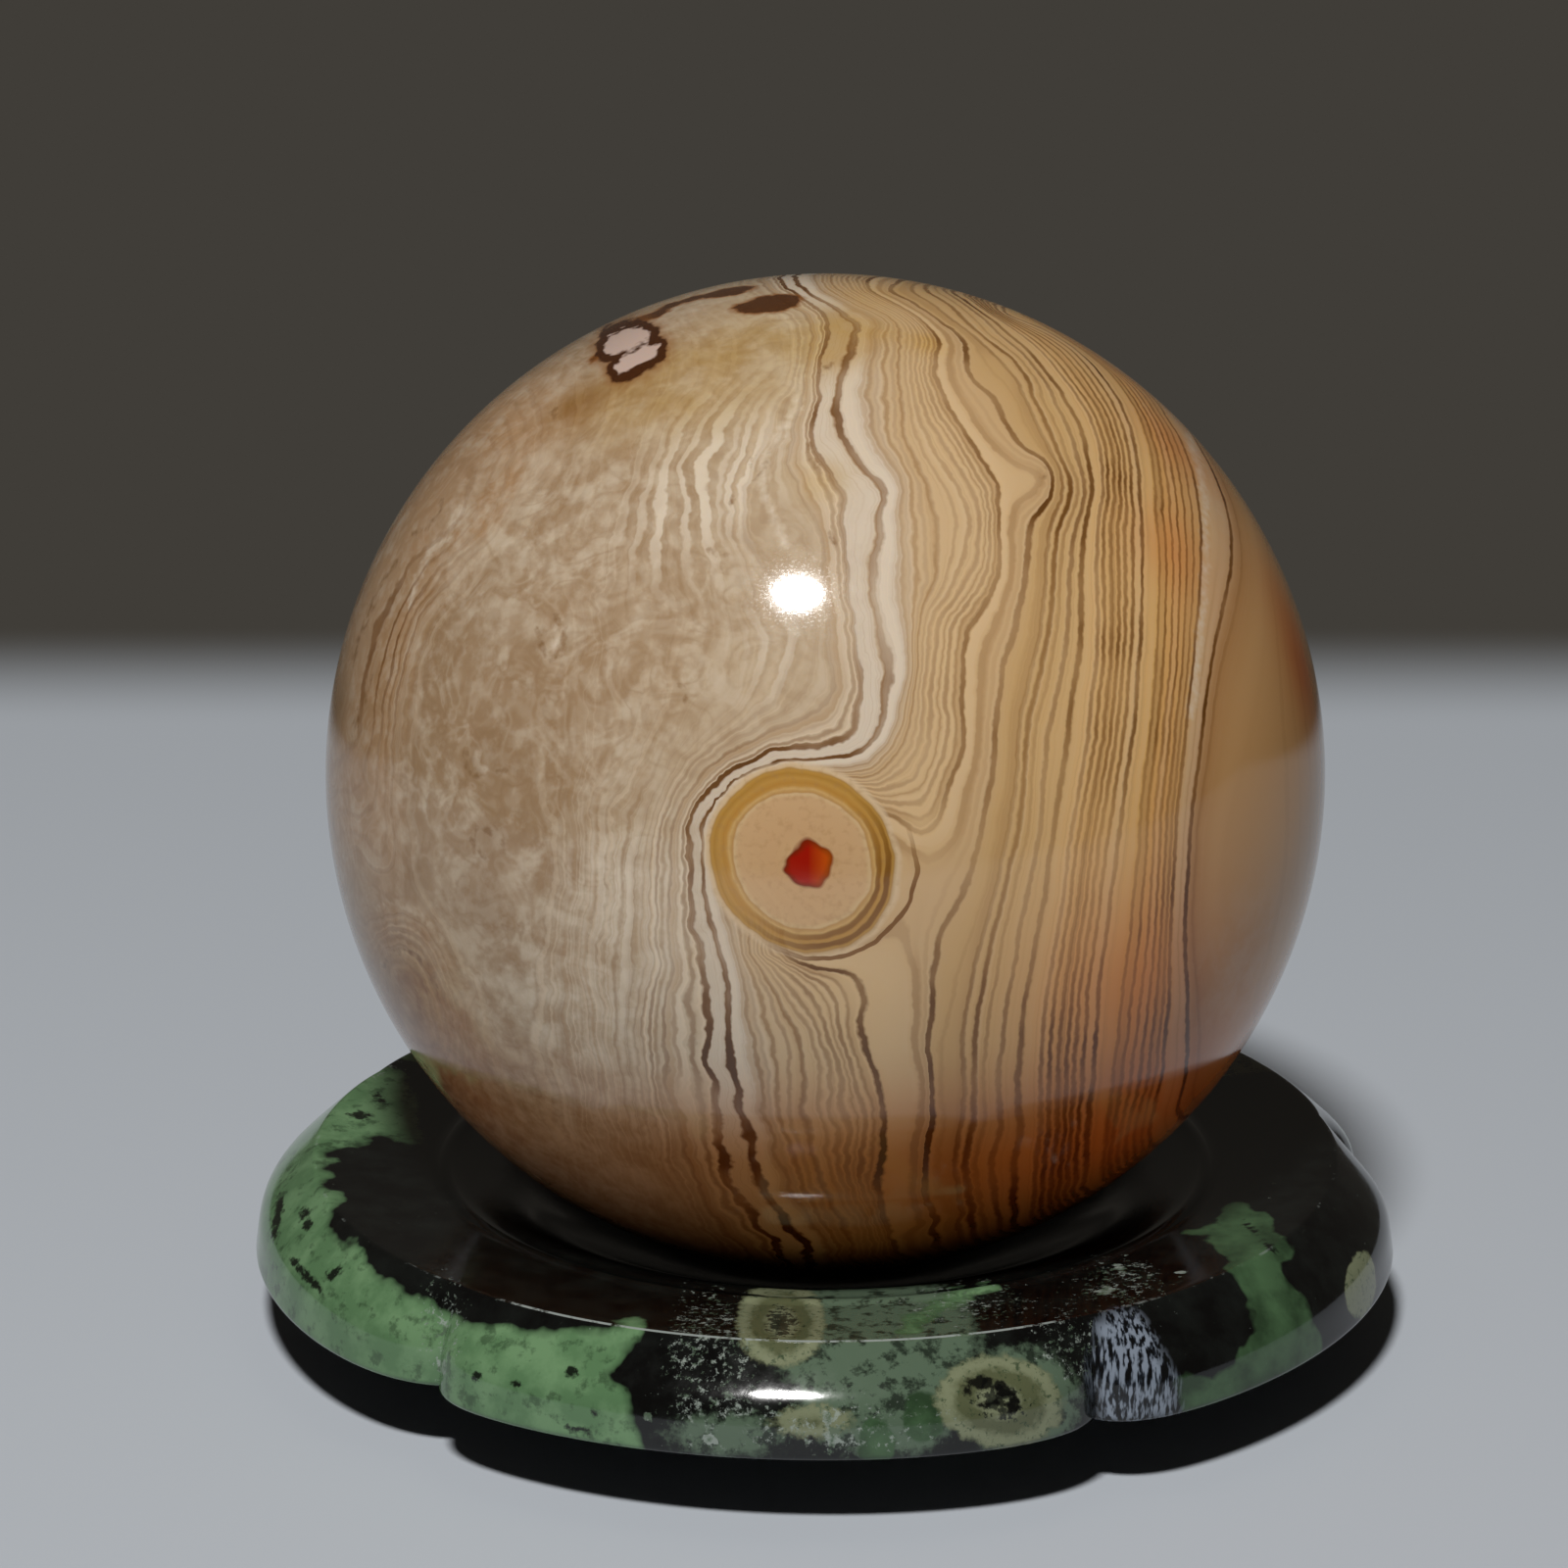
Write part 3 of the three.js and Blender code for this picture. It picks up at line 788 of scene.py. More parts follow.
def agate_material(mesh, settings):
    """Banded chalcedony cut to a ball and polished to a high gloss. The tan body lets a little light in, so
    that it looks waxy and not painted; the brown lines are sharp, because they lie at the surface."""
    material, add = new_material("agate_polished")
    millimetres = view_millimetres(add)
    value = pattern_values(add, millimetres, mesh, AGATE_NOISES)

    # The lines waver by a few tenths of a millimetre on the left and run almost true on the right
    place = value.band_place
    reach = add("MapRange", {0: place, 1: 1.0, 2: 14.0, 3: 0.4, 4: 0.1})
    sway = add("MapRange", {0: value.sway, 1: 0.25, 2: 0.75, 3: -1.0, 4: 1.0})
    burl = add("MapRange", {0: value.burl, 1: 0.25, 2: 0.75, 3: -1.2, 4: 1.2})
    ragged = add("MapRange", {0: value.ragged, 1: 0.25, 2: 0.75, 3: -0.05, 4: 0.05})
    shift = add("Math", {0: sway, 1: reach, 2: ragged}, operation="MULTIPLY_ADD")
    shift = add("Math", {0: burl, 1: value.moss, 2: shift}, operation="MULTIPLY_ADD")
    place = add("Math", {0: shift, 1: value.crowding, 2: place}, operation="MULTIPLY_ADD")

    # Body colour across the banding, the two white bands, and the cloudy, mottled stone on the left
    bare = add("MapRange", {0: value.ochre, 1: 0.15, 2: 0.6, 3: 1.0, 4: 0.0})
    white = add("Math", {0: ramp_colour(add, place, WHITE_BANDS), 1: bare}, operation="MULTIPLY")
    mottled = add("Math", {0: value.moss, 1: value.left_side}, operation="MAXIMUM")
    soft_mottle = add("Math", {0: mottled, 1: 0.7}, operation="MULTIPLY")
    curls = add("Math", {0: value.curl, 1: CURL_LEVELS}, operation="MULTIPLY")
    curls = add("Math", {0: curls}, operation="SINE")
    soft_curls = add("Math", {0: mottled, 1: 0.45}, operation="MULTIPLY")
    colour = layered(add, ramp_colour(add, place, BODY_COLOURS), (
        (white, BAND_WHITE),
        (value.cloud, 0.38, 0.6, value.moss, CLOUD_MIDDLE),
        (value.veil, 0.38, 0.6, value.pale, CLOUD_PALE),
        (value.patch, 0.5, 0.34, mottled, CLOUD_PALE),
        (value.mottle, 0.46, 0.62, mottled, CLOUD_MIDDLE),
        (value.mottle, 0.5, 0.34, soft_mottle, CLOUD_PALE),
        (curls, 0.2, 1.0, soft_curls, CLOUD_PALE),
        (curls, -0.2, -1.0, soft_curls, CLOUD_DARK),
        (value.shade, CLOUD_DARK),
    ))

    # Faint growth lines between the strong ones, more of them and paler on the left. Where the bands lie wide
    # apart they would be blots, so they fade there. Strong lines are darker on some stretches than on others.
    fine = add("TexNoise", {"W": place, "Scale": FINE_LINE_SCALE, "Detail": 3.0, "Roughness": 0.6},
               noise_dimensions="1D")
    close = add("MapRange", {0: value.crowding, 1: 0.35, 2: 0.8, 4: value.line_clarity})
    pale_share = add("MapRange", {0: place, 1: 1.0, 2: 6.0, 3: 0.5, 4: 0.1})
    pale_share = add("Math", {0: pale_share, 1: close}, operation="MULTIPLY")
    dark_share = add("Math", {0: close, 1: 0.4}, operation="MULTIPLY")
    waves = line_marks(add, place, value.crowding, PALE_LINES)
    waves = add("Math", {0: waves, 1: value.waves}, operation="MULTIPLY")
    stretches = add("MapRange", {0: value.stretch, 1: 0.3, 2: 0.7, 3: 0.5, 4: 1.2})
    lines = line_marks(add, place, value.crowding, LINES)
    for factor in (stretches, value.line_clarity, value.line_depth):
        lines = add("Math", {0: lines, 1: factor}, operation="MULTIPLY")
    rough_edge = add("MapRange", {0: value.ragged, 1: 0.25, 2: 0.75, 3: -0.3, 4: 0.1})
    pale_stroke = add("Math", {0: value.pale_stroke, 1: rough_edge})
    dark_stroke = add("Math", {0: value.dark_stroke, 1: rough_edge})
    colour = layered(add, colour, (
        (waves, 0.0, 1.0, 0.8, STROKE_PALE),
        (fine, 0.51, 0.62, pale_share, FINE_LINE_PALE),
        (fine, 0.47, 0.36, dark_share, FINE_LINE_DARK),
        (pale_stroke, -0.25, 0.25, 0.7, STROKE_PALE),
        (dark_stroke, -0.14, 0.12, 0.7, STROKE_DARK),
        (lines, 0.0, 1.0, 0.9, LINE_BROWN),
        (lines, 0.75, 1.3, 0.8, LINE_DARK),
    ))

    # Iron stain, orange on the right and ochre at the top, the orange on the right partly a painted glow of
    # light through the stone; a painted glow of light that has come through warms the underside
    patchy = add("MapRange", {0: value.patch, 1: 0.35, 2: 0.65, 3: 0.5, 4: 1.0})
    ochre = add("Math", {0: value.ochre, 1: patchy}, operation="MULTIPLY")
    for share, tint in ((value.warmth, STAIN_AND_GLOW_TINT), (ochre, OCHRE_TINT), (value.underside, PAINTED_UNDERGLOW_TINT)):
        sockets = {0: share, 6: colour, 7: linear(tint)}
        colour = add("Mix", sockets, 2, data_type="RGBA", blend_type="MULTIPLY")

    def oval(centre, half_size, turn=0.0):
        """Place in an oval marking, whose edge is 1 from its centre, and the distance from there."""
        inside = add("Mapping", {
            "Vector": millimetres, "Location": view_place(*centre), "Rotation": (0, 0, turn),
            "Scale": (*half_size, OVAL_DEPTH),
        }, vector_type="TEXTURE")
        return inside, add("VectorMath", {0: inside}, "Value", operation="LENGTH")

    # The eye: rings round a red core, with dark arcs on its lower right, where its own x is turned
    eye, ring = oval(EYE_CENTRE, EYE_HALF_SIZE, -math.pi / 4)
    ring = wavered(add, ring, value.eye_wobble, RING_WOBBLE)
    lower_right, _, depth = add("SeparateXYZ", {0: eye}).node.outputs
    near_side = add("MapRange", {0: depth, 1: -0.01, 2: 0.0})
    lower_right = add("MapRange", {0: lower_right, 1: -0.1, 2: 0.75})
    arcs = add("Math", {0: ramp_colour(add, ring, EYE_ARCS), 1: lower_right}, operation="MULTIPLY")
    core, core_ring = oval(CORE_CENTRE, CORE_HALF_SIZE)
    core_ring = wavered(add, core_ring, value.core_wobble, 0.16)
    red = layered(add, CORE_RED, (
        (add("SeparateXYZ", {0: core}), -0.1, 0.8, 1.0, CORE_ORANGE),
        (core_ring, 0.72, 0.95, 0.6, LINE_DARK),
    ))
    eye_colour = layered(add, ramp_colour(add, ring, EYE_RINGS), (
        (value.eye_grain, 0.5, 0.7, 0.3, FINE_LINE_DARK),
        (arcs, LINE_BROWN),
        (core_ring, 1.05, 0.93, 1.0, red),
    ))

    # A dark line loops below the eye
    loop, loop_ring = oval(LOOP_CENTRE, LOOP_HALF_SIZE)
    loop_ring = wavered(add, loop_ring, value.eye_wobble, RING_WOBBLE)
    on_line = add("Math", {0: loop_ring, 1: 1.0, 2: LOOP_HALF_WIDTH}, operation="COMPARE")
    on_line = add("Math", {0: on_line, 1: near_side}, operation="MULTIPLY")
    lean = add("VectorMath", {0: loop, 1: LOOP_DARK_SIDE}, "Value", operation="DOT_PRODUCT")

    # Dark iron spots and the pale cell with its dark rim, at the top left
    stain = wavered(add, value.stain_depth, value.stain_edge, 0.2)
    cell = wavered(add, value.cell_depth, value.stain_edge, 0.14)
    colour = layered(add, colour, (
        (ring, EYE_RINGS[-1][0], EYE_RINGS[-1][0] - 0.06, near_side, eye_colour),
        (lean, 0.2, 0.8, on_line, LINE_BROWN),
        (stain, -0.4, 0.0, 0.8, STAIN_BROWN),
        (stain, -0.06, 0.14, 0.85, STAIN_DARK),
        (cell, -1.1, -0.5, 0.6, STAIN_BROWN),
        (cell, -0.62, -0.44, 0.97, STAIN_DARK),
        (cell, -0.06, 0.06, 1.0, CELL_PINK),
    ))

    # Faint polishing marks break the edge of the highlight into sparkles
    rough = settings.roughness
    add("OutputMaterial", {"Surface": add("BsdfPrincipled", {
        "Base Color": colour, "IOR": AGATE_IOR, "Subsurface Weight": settings.translucency,
        "Subsurface Radius": LIGHT_DEPTHS, "Subsurface Scale": settings.light_depth,
        "Roughness": add("MapRange", {0: value.polish, 1: 0.54, 2: 0.64, 3: rough, 4: rough * 1.6}),
        "Normal": add("Bump", {"Strength": 0.08, "Distance": MARK_DEPTH, "Height": value.polish}),
    })})
    return material


def stone_material(mesh, settings):
    """Dark green and black stone with round pale spots, carved and polished. Near-black gives the deep
    mirror look of the dish; the light green patches look less glossy only because they are pale."""
    material, add = new_material("orbicular_stone_polished")
    millimetres = view_millimetres(add)
    value = pattern_values(add, millimetres, mesh, STONE_NOISES)
    green, vein, fibre, ground, olive, dark = (
        wavered(add, depth, noise, reach) for depth, noise, reach in (
            (value.green_depth, value.edge, 0.35), (value.vein_depth, value.edge, 0.35),
            (value.fibre_depth, value.edge, 0.35), (value.ground_depth, value.fray, 0.35),
            (value.olive_depth, value.fray, 0.21), (value.dark_depth, value.fray, 0.175),
        )
    )
    tone, blotch = value.tone, value.blotch
    # Light green stone is mottled, and darkens towards its edge
    green_tone = layered(add, STONE_GREEN, (
        (tone, 0.42, 0.6, 1.0, STONE_GREEN_PALE),
        (blotch, 0.54, 0.64, 0.6, STONE_GREEN_DEEP),
        (green, 0.45, 0.1, 0.5, STONE_GREEN_DEEP),
    ))
    vein_tone = layered(add, STONE_GREEN_DEEP, (
        (tone, 0.4, 0.62, 0.4, STONE_GREEN), (vein, 0.5, 1.6, 0.35, STONE_GREEN),
    ))
    # Round olive spots have rings and a dark, speckled heart
    rings = add("Math", {0: olive, 1: ORB_RINGS}, operation="MULTIPLY")
    rings = add("Math", {0: rings}, operation="SINE")
    speckles = add("MapRange", {0: value.speckle, 1: 0.3, 2: 0.7, 4: 1.6})
    olive_tone = layered(add, STONE_OLIVE, (
        (rings, -0.6, 1.0, 1.0, STONE_OLIVE_PALE),
        (value.speckle, 0.55, 0.66, 0.8, STONE_GREEN_DEEP),
        (add("Math", {0: olive, 1: speckles}), 2.6, 2.9, 0.85, STONE_BLACK_SOFT),
    ))
    # Upright pale fibres beside the right notch
    upright = add("Mapping", {"Vector": millimetres, "Scale": FIBRE_STRETCH})
    fibres = add("TexNoise", {"Vector": upright, "Scale": 1.0, "Detail": 2.0, "Roughness": 0.5})
    fibre_tone = layered(add, STONE_SLATE, (
        (fibres, 0.45, 0.56, 0.9, STONE_FIBRE), (fibres, 0.43, 0.38, 0.9, STONE_BLACK),
    ))
    # Whitish grains lie thick in some zones and rare elsewhere
    grain = add("Math", {0: value.grain, 1: value.grain_share})
    grain_tone = layered(add, STONE_GRAIN, ((blotch, 0.45, 0.55, 1.0, STONE_GREY_GREEN),))
    # A thin line along the crease is worn whitish, with gaps
    worn = add("Math", {0: value.crease_gap, 1: 0.0, 2: WORN_HALF_WIDTH}, operation="COMPARE")
    worn_from = add("MapRange", {
        0: value.worn_share, 1: WORN_SHARES[0], 2: WORN_SHARES[1], 3: 0.56, 4: 0.38,
    })
    worn_to = add("Math", {0: worn_from, 1: 0.08})
    unbroken = add("MapRange", {0: value.wear, 1: worn_from, 2: worn_to, 4: value.worn_share})
    worn = add("Math", {0: worn, 1: unbroken}, operation="MULTIPLY")
    colour = layered(add, STONE_BLACK, (
        (tone, 0.4, 0.7, 1.0, STONE_BLACK_SOFT),
        (ground, -0.3, 0.5, 0.85, STONE_GREY_DARK),
        (blotch, 0.4, 0.5, add("MapRange", {0: ground, 1: -0.1, 2: 0.5}), STONE_GREY_GREEN),
        (green, -0.12, 0.1, 1.0, green_tone),
        (vein, -0.12, 0.1, 1.0, vein_tone),
        (olive, -0.1, 0.2, 1.0, olive_tone),
        (dark, -0.06, 0.1, 0.95, STONE_BLACK),
        (fibre, -0.2, 0.8, 1.0, fibre_tone),
        (grain, 0.96, 1.04, 0.8, grain_tone),
        (worn, STONE_WORN),
    ))
    rough = settings.roughness
    add("OutputMaterial", {"Surface": add("BsdfPrincipled", {
        "Base Color": colour, "IOR": STONE_IOR,
        "Roughness": add("MapRange", {0: value.wear, 1: 0.35, 2: 0.7, 3: rough * 0.7, 4: rough * 1.5}),
        "Normal": add("Bump", {"Strength": 0.12, "Distance": MARK_DEPTH, "Height": value.scratch}),
    })})
    return material


class AgateBallSettings(bpy.types.PropertyGroup):
    divisions: bpy.props.IntProperty(
        name="Divisions", description="Squares along each edge of the six faces that the ball is made from",
        default=128, min=16, max=128,
    )
    roughness: bpy.props.FloatProperty(
        name="Roughness", description="Roughness of the polished agate", default=0.09, min=0, max=1,
        subtype="FACTOR",
    )
    translucency: bpy.props.FloatProperty(
        name="Translucency", description="Share of the light that scatters inside the agate", default=0.15,
        min=0, max=1, subtype="FACTOR",
    )
    light_depth: bpy.props.FloatProperty(
        name="Light depth", description="How far light scatters inside the agate", default=0.7 * MM, min=0,
        unit="LENGTH",
    )


class LobedStandSettings(bpy.types.PropertyGroup):
    steps_per_lobe: bpy.props.IntProperty(
        name="Steps per lobe", description="Mesh steps round each lobe of the rim", default=140, min=16,
        max=160,
    )
    crease_rounding: bpy.props.FloatProperty(
        name="Crease rounding", description="Radius of the worn crease round the top of the rim",
        default=0.5 * MM, min=0, unit="LENGTH",
    )
    roughness: bpy.props.FloatProperty(
        name="Roughness", description="Roughness of the polished stone", default=0.1, min=0, max=1,
        subtype="FACTOR",
    )


class AgateStageSettings(bpy.types.PropertyGroup):
    key_power: bpy.props.FloatProperty(
        name="Key light", description="Power of the soft light above the front", default=9.0, min=0,
        unit="POWER",
    )
    key_width: bpy.props.FloatProperty(
        name="Key width", description="Width of the oval light", default=0.155, min=0, unit="LENGTH"
    )
    key_height: bpy.props.FloatProperty(
        name="Key height", description="Height of the oval light", default=0.105, min=0, unit="LENGTH"
    )
    surround: bpy.props.FloatProperty(
        name="Surround", description="Strength of the dim light from all sides", default=1.0, min=0
    )


def band_places(points):
    """Place in millimetres across the banding at points of the ball, given from its centre in ball radii."""
    places, values = [], []
    for value, line in GUIDE_LINES:
        places.append(on_ball(along_line(line, GUIDE_SPACING)))
        values.append(np.full(len(places[-1]), value))
    edge = np.array(EYE_EDGE, float)
    places.append(on_ball(edge[:, :2]))
    values.append(edge[:, 2])
    turns = np.arange(HIDDEN_GUIDES) * math.pi * (3 - math.sqrt(5))
    rise = 1 - 2 * (np.arange(HIDDEN_GUIDES) + 0.5) / HIDDEN_GUIDES
    level = np.sqrt(1 - rise ** 2)
    hidden = np.stack((level * np.cos(turns), level * np.sin(turns), rise), axis=1)
    hidden = hidden[hidden @ np.array(TOWARD) < HIDDEN_FROM]
    across = hidden[:, 0] * BALL_RADIUS / MM
    wave = HIDDEN_WAVE * np.sin(hidden @ np.array(WAVE_RATES)) * smooth_step(-across, *WAVY_SIDE)
    places.append(hidden)
    values.append(np.where(across > 0, across, LEFT_SPREAD * across) + wave)
    return spread_values(np.concatenate(places), np.concatenate(values), points)


def band_crowding(mesh, points, band_place):
    """How many places across the banding a millimetre of the ball holds, from how fast the place changes
    along the mesh's edges."""
    ends = np.empty(len(mesh.edges) * 2, int)
    mesh.edges.foreach_get("vertices", ends)
    ends = ends.reshape(-1, 2)
    lengths = np.linalg.norm(points[ends[:, 0]] - points[ends[:, 1]], axis=1) * BALL_RADIUS / MM
    slopes = ((band_place[ends[:, 0]] - band_place[ends[:, 1]]) / lengths) ** 2
    crowding = sum(np.bincount(side, slopes, len(points)) for side in ends.T) / 2
    return np.clip(np.sqrt(crowding), *CROWDING_LIMITS)


class AGATE_OT_ball(bpy.types.Operator):
    """Makes the polished agate ball"""

    bl_idname = "agate.ball"
    bl_label = "Agate ball"

    def execute(self, context):
        settings = context.scene.agate_ball
        shape = bmesh.new()
        bmesh.ops.create_cube(shape, size=2)
        bmesh.ops.subdivide_edges(
            shape, edges=shape.edges[:], cuts=settings.divisions - 1, use_grid_fill=True
        )
        mesh = as_mesh(shape, "agate_ball")
        # Even steps of angle on the cube's faces make squares of nearly even size on the ball
        points = np.tan(vectors(mesh.vertices, "co") * math.pi / 4)
        points /= np.linalg.norm(points, axis=1, keepdims=True)
        mesh.vertices.foreach_set("co", (points * BALL_RADIUS + np.array(BALL_CENTRE)).ravel())

        spots = functools.partial(spots_on_ball, points)
        place = band_places(points)
        front = smooth_step(points @ np.array(TOWARD), *BALL_SEEN)
        moss = spots(MOSSY_SPOTS) * front + (1 - front) * smooth_step(-place, *HIDDEN_MOSS_FROM)
        clarity = LEAST_CLARITY + np.maximum(spots(CLEAR_SPOTS), smooth_step(place, *CLEAR_FROM))
        smooth_side = smooth_step(place, *SMOOTH_SIDE) * (HIDDEN_SMOOTH + (1 - HIDDEN_SMOOTH) * front)
        widening = 1 + LOW_WIDENING * smooth_step(-points[:, 2], *WIDER_BELOW)
        coming_through = LEFT_UNDERGLOW_SHARE + (1 - LEFT_UNDERGLOW_SHARE) * smooth_step(points[:, 0], *LEFT_HALF)
        stains = np.array(STAINS)
        gaps = np.linalg.norm(points[:, None] - on_ball(stains), axis=2) * BALL_RADIUS / MM

        across, down, toward = to_pixels(points * BALL_RADIUS + np.array(BALL_CENTRE))
        # Past the limb, pixels would say the same again, so the markings end there
        past_limb = np.minimum(toward - BALL_RADIUS ** 2 / CAMERA_DISTANCE, 0) / MM

        def drawn(**markings):
            """Depth in millimetres inside markings seen in the photograph."""
            return np.maximum(marking_depth(across, down, **markings) + MARKING_FADE * past_limb, -DEEPEST)

        set_values(
            mesh, band_place=place, crowding=band_crowding(mesh, points, place) * widening,
            moss=MOSS_STRENGTH * moss, left_side=LEFT_MOTTLE * smooth_step(-place, *MOTTLED_FROM),
            line_clarity=np.clip(clarity, 0, 1) * (1 - SMOOTHING * smooth_side),
            line_depth=1 - spots(FAINT_SPOTS), pale=spots(PALE_SPOTS), shade=spots(SHADE_SPOTS),
            # The warm spots are partly stain and partly a painted glow of light through the stone
            waves=spots(WAVE_SPOTS), warmth=spots(STAIN_AND_GLOW_SPOTS), ochre=spots(OCHRE_SPOTS),
            # The underside gets a painted warm glow of light that has come through the stone
            underside=smooth_step(-points[:, 2], *UNDERGLOW_DEPTHS) * coming_through,
            stain_depth=(stains[:, 2] - gaps).max(1), cell_depth=drawn(outlines=CELL_LOBES),
            pale_stroke=drawn(strokes=PALE_STROKES), dark_stroke=drawn(strokes=DARK_STROKES),
        )
        finish_piece("agate_ball", mesh, agate_material(mesh, settings), "agate_sphere")
        return {"FINISHED"}


def stand_section(crease_rounding):
    """Half section of the stand in millimetres, radius and height, from the middle of the dish outwards, down
    the rim and in to the middle of the foot."""
    points = []

    def arc(centre, radius, first, last, steps):
        """Adds points round a centre, from one angle in degrees to another."""
        for angle in np.radians(np.linspace(first, last, steps + 1)):
            points.append((centre[0] + radius * math.cos(angle), centre[1] + radius * math.sin(angle)))

    def curve(*pulls, steps):
        """Goes on from the last point along a curve drawn by the pulls, to the last of them."""
        pulls = np.array((points[-1], *pulls))
        last = len(pulls) - 1
        for share in np.arange(1, steps + 1) / steps:
            weights = [math.comb(last, k) * (1 - share) ** (last - k) * share ** k for k in range(last + 1)]
            points.append(tuple(weights @ pulls))

    seat_angle = math.degrees(math.asin(SEAT_REACH / SEAT_RADIUS))
    arc((0, DISH_FLOOR + SEAT_RADIUS), SEAT_RADIUS, -90, seat_angle - 90, steps=24)
    start = points[-1]
    bend_radius = (start[0] + SLOPE_START) / 2
    bend = (bend_radius, start[1] + (bend_radius - start[0]) * math.tan(math.radians(seat_angle)))
    curve(bend, (SLOPE_START, SLOPE_START_HEIGHT), steps=8)

    # A low rounded lip runs round the seat
    crease_radius = LOBE_RADIUS - CREASE_INSET
    slope = math.atan2(CREASE_HEIGHT - SLOPE_START_HEIGHT, crease_radius - SLOPE_START)
    lip_half = math.degrees(math.acos(1 - LIP_HEIGHT / LIP_ROUNDING))
    lip_base = SLOPE_START_HEIGHT + (LIP_RADIUS - SLOPE_START) * math.tan(slope)
    lip_centre = (LIP_RADIUS, lip_base + LIP_HEIGHT - LIP_ROUNDING)
    arc(lip_centre, LIP_ROUNDING, 90 + lip_half, 90 - lip_half, steps=8)

    # The crease is worn round, and below it the shoulder bends down to the lower edge
    fall = math.radians(90 - SHOULDER_STEEPNESS)
    cut = crease_rounding * math.tan((slope + fall) / 2)
    curve((crease_radius - cut * math.cos(slope), CREASE_HEIGHT - cut * math.sin(slope)), steps=14)
    centre = points[-1] + crease_rounding * np.array((math.sin(slope), -math.cos(slope)))
    arc(centre, crease_rounding, 90 + math.degrees(slope), SHOULDER_STEEPNESS, steps=5)
    lean = math.radians(EDGE_LEAN)
    edge = (LOBE_RADIUS - EDGE_RADIUS, UNDERSIDE_HEIGHT + EDGE_RADIUS)
    end = (edge[0] + EDGE_RADIUS * math.cos(lean), edge[1] + EDGE_RADIUS * math.sin(lean))
    first = points[-1] + SHOULDER_PULL * np.array((math.cos(fall), -math.sin(fall)))
    last = (end[0] - EDGE_PULL * math.sin(lean), end[1] + EDGE_PULL * math.cos(lean))
    curve(first, last, end, steps=20)
    arc(edge, EDGE_RADIUS, EDGE_LEAN, -90, steps=6)

    # Flat underside and foot
    curve((FOOT_RADIUS + FOOT_FILLET, UNDERSIDE_HEIGHT), steps=12)
    arc((FOOT_RADIUS + FOOT_FILLET, UNDERSIDE_HEIGHT - FOOT_FILLET), FOOT_FILLET, 90, 180, steps=5)
    curve((FOOT_RADIUS, FOOT_CHAMFER), steps=2)
    curve((FOOT_RADIUS - FOOT_CHAMFER, 0), steps=1)
    curve((0, 0), steps=6)
    moved = [math.dist(a, b) > SAME_POINT for a, b in zip(points, points[1:])]
    return [point for point, differs in zip(points, [True, *moved]) if differs]


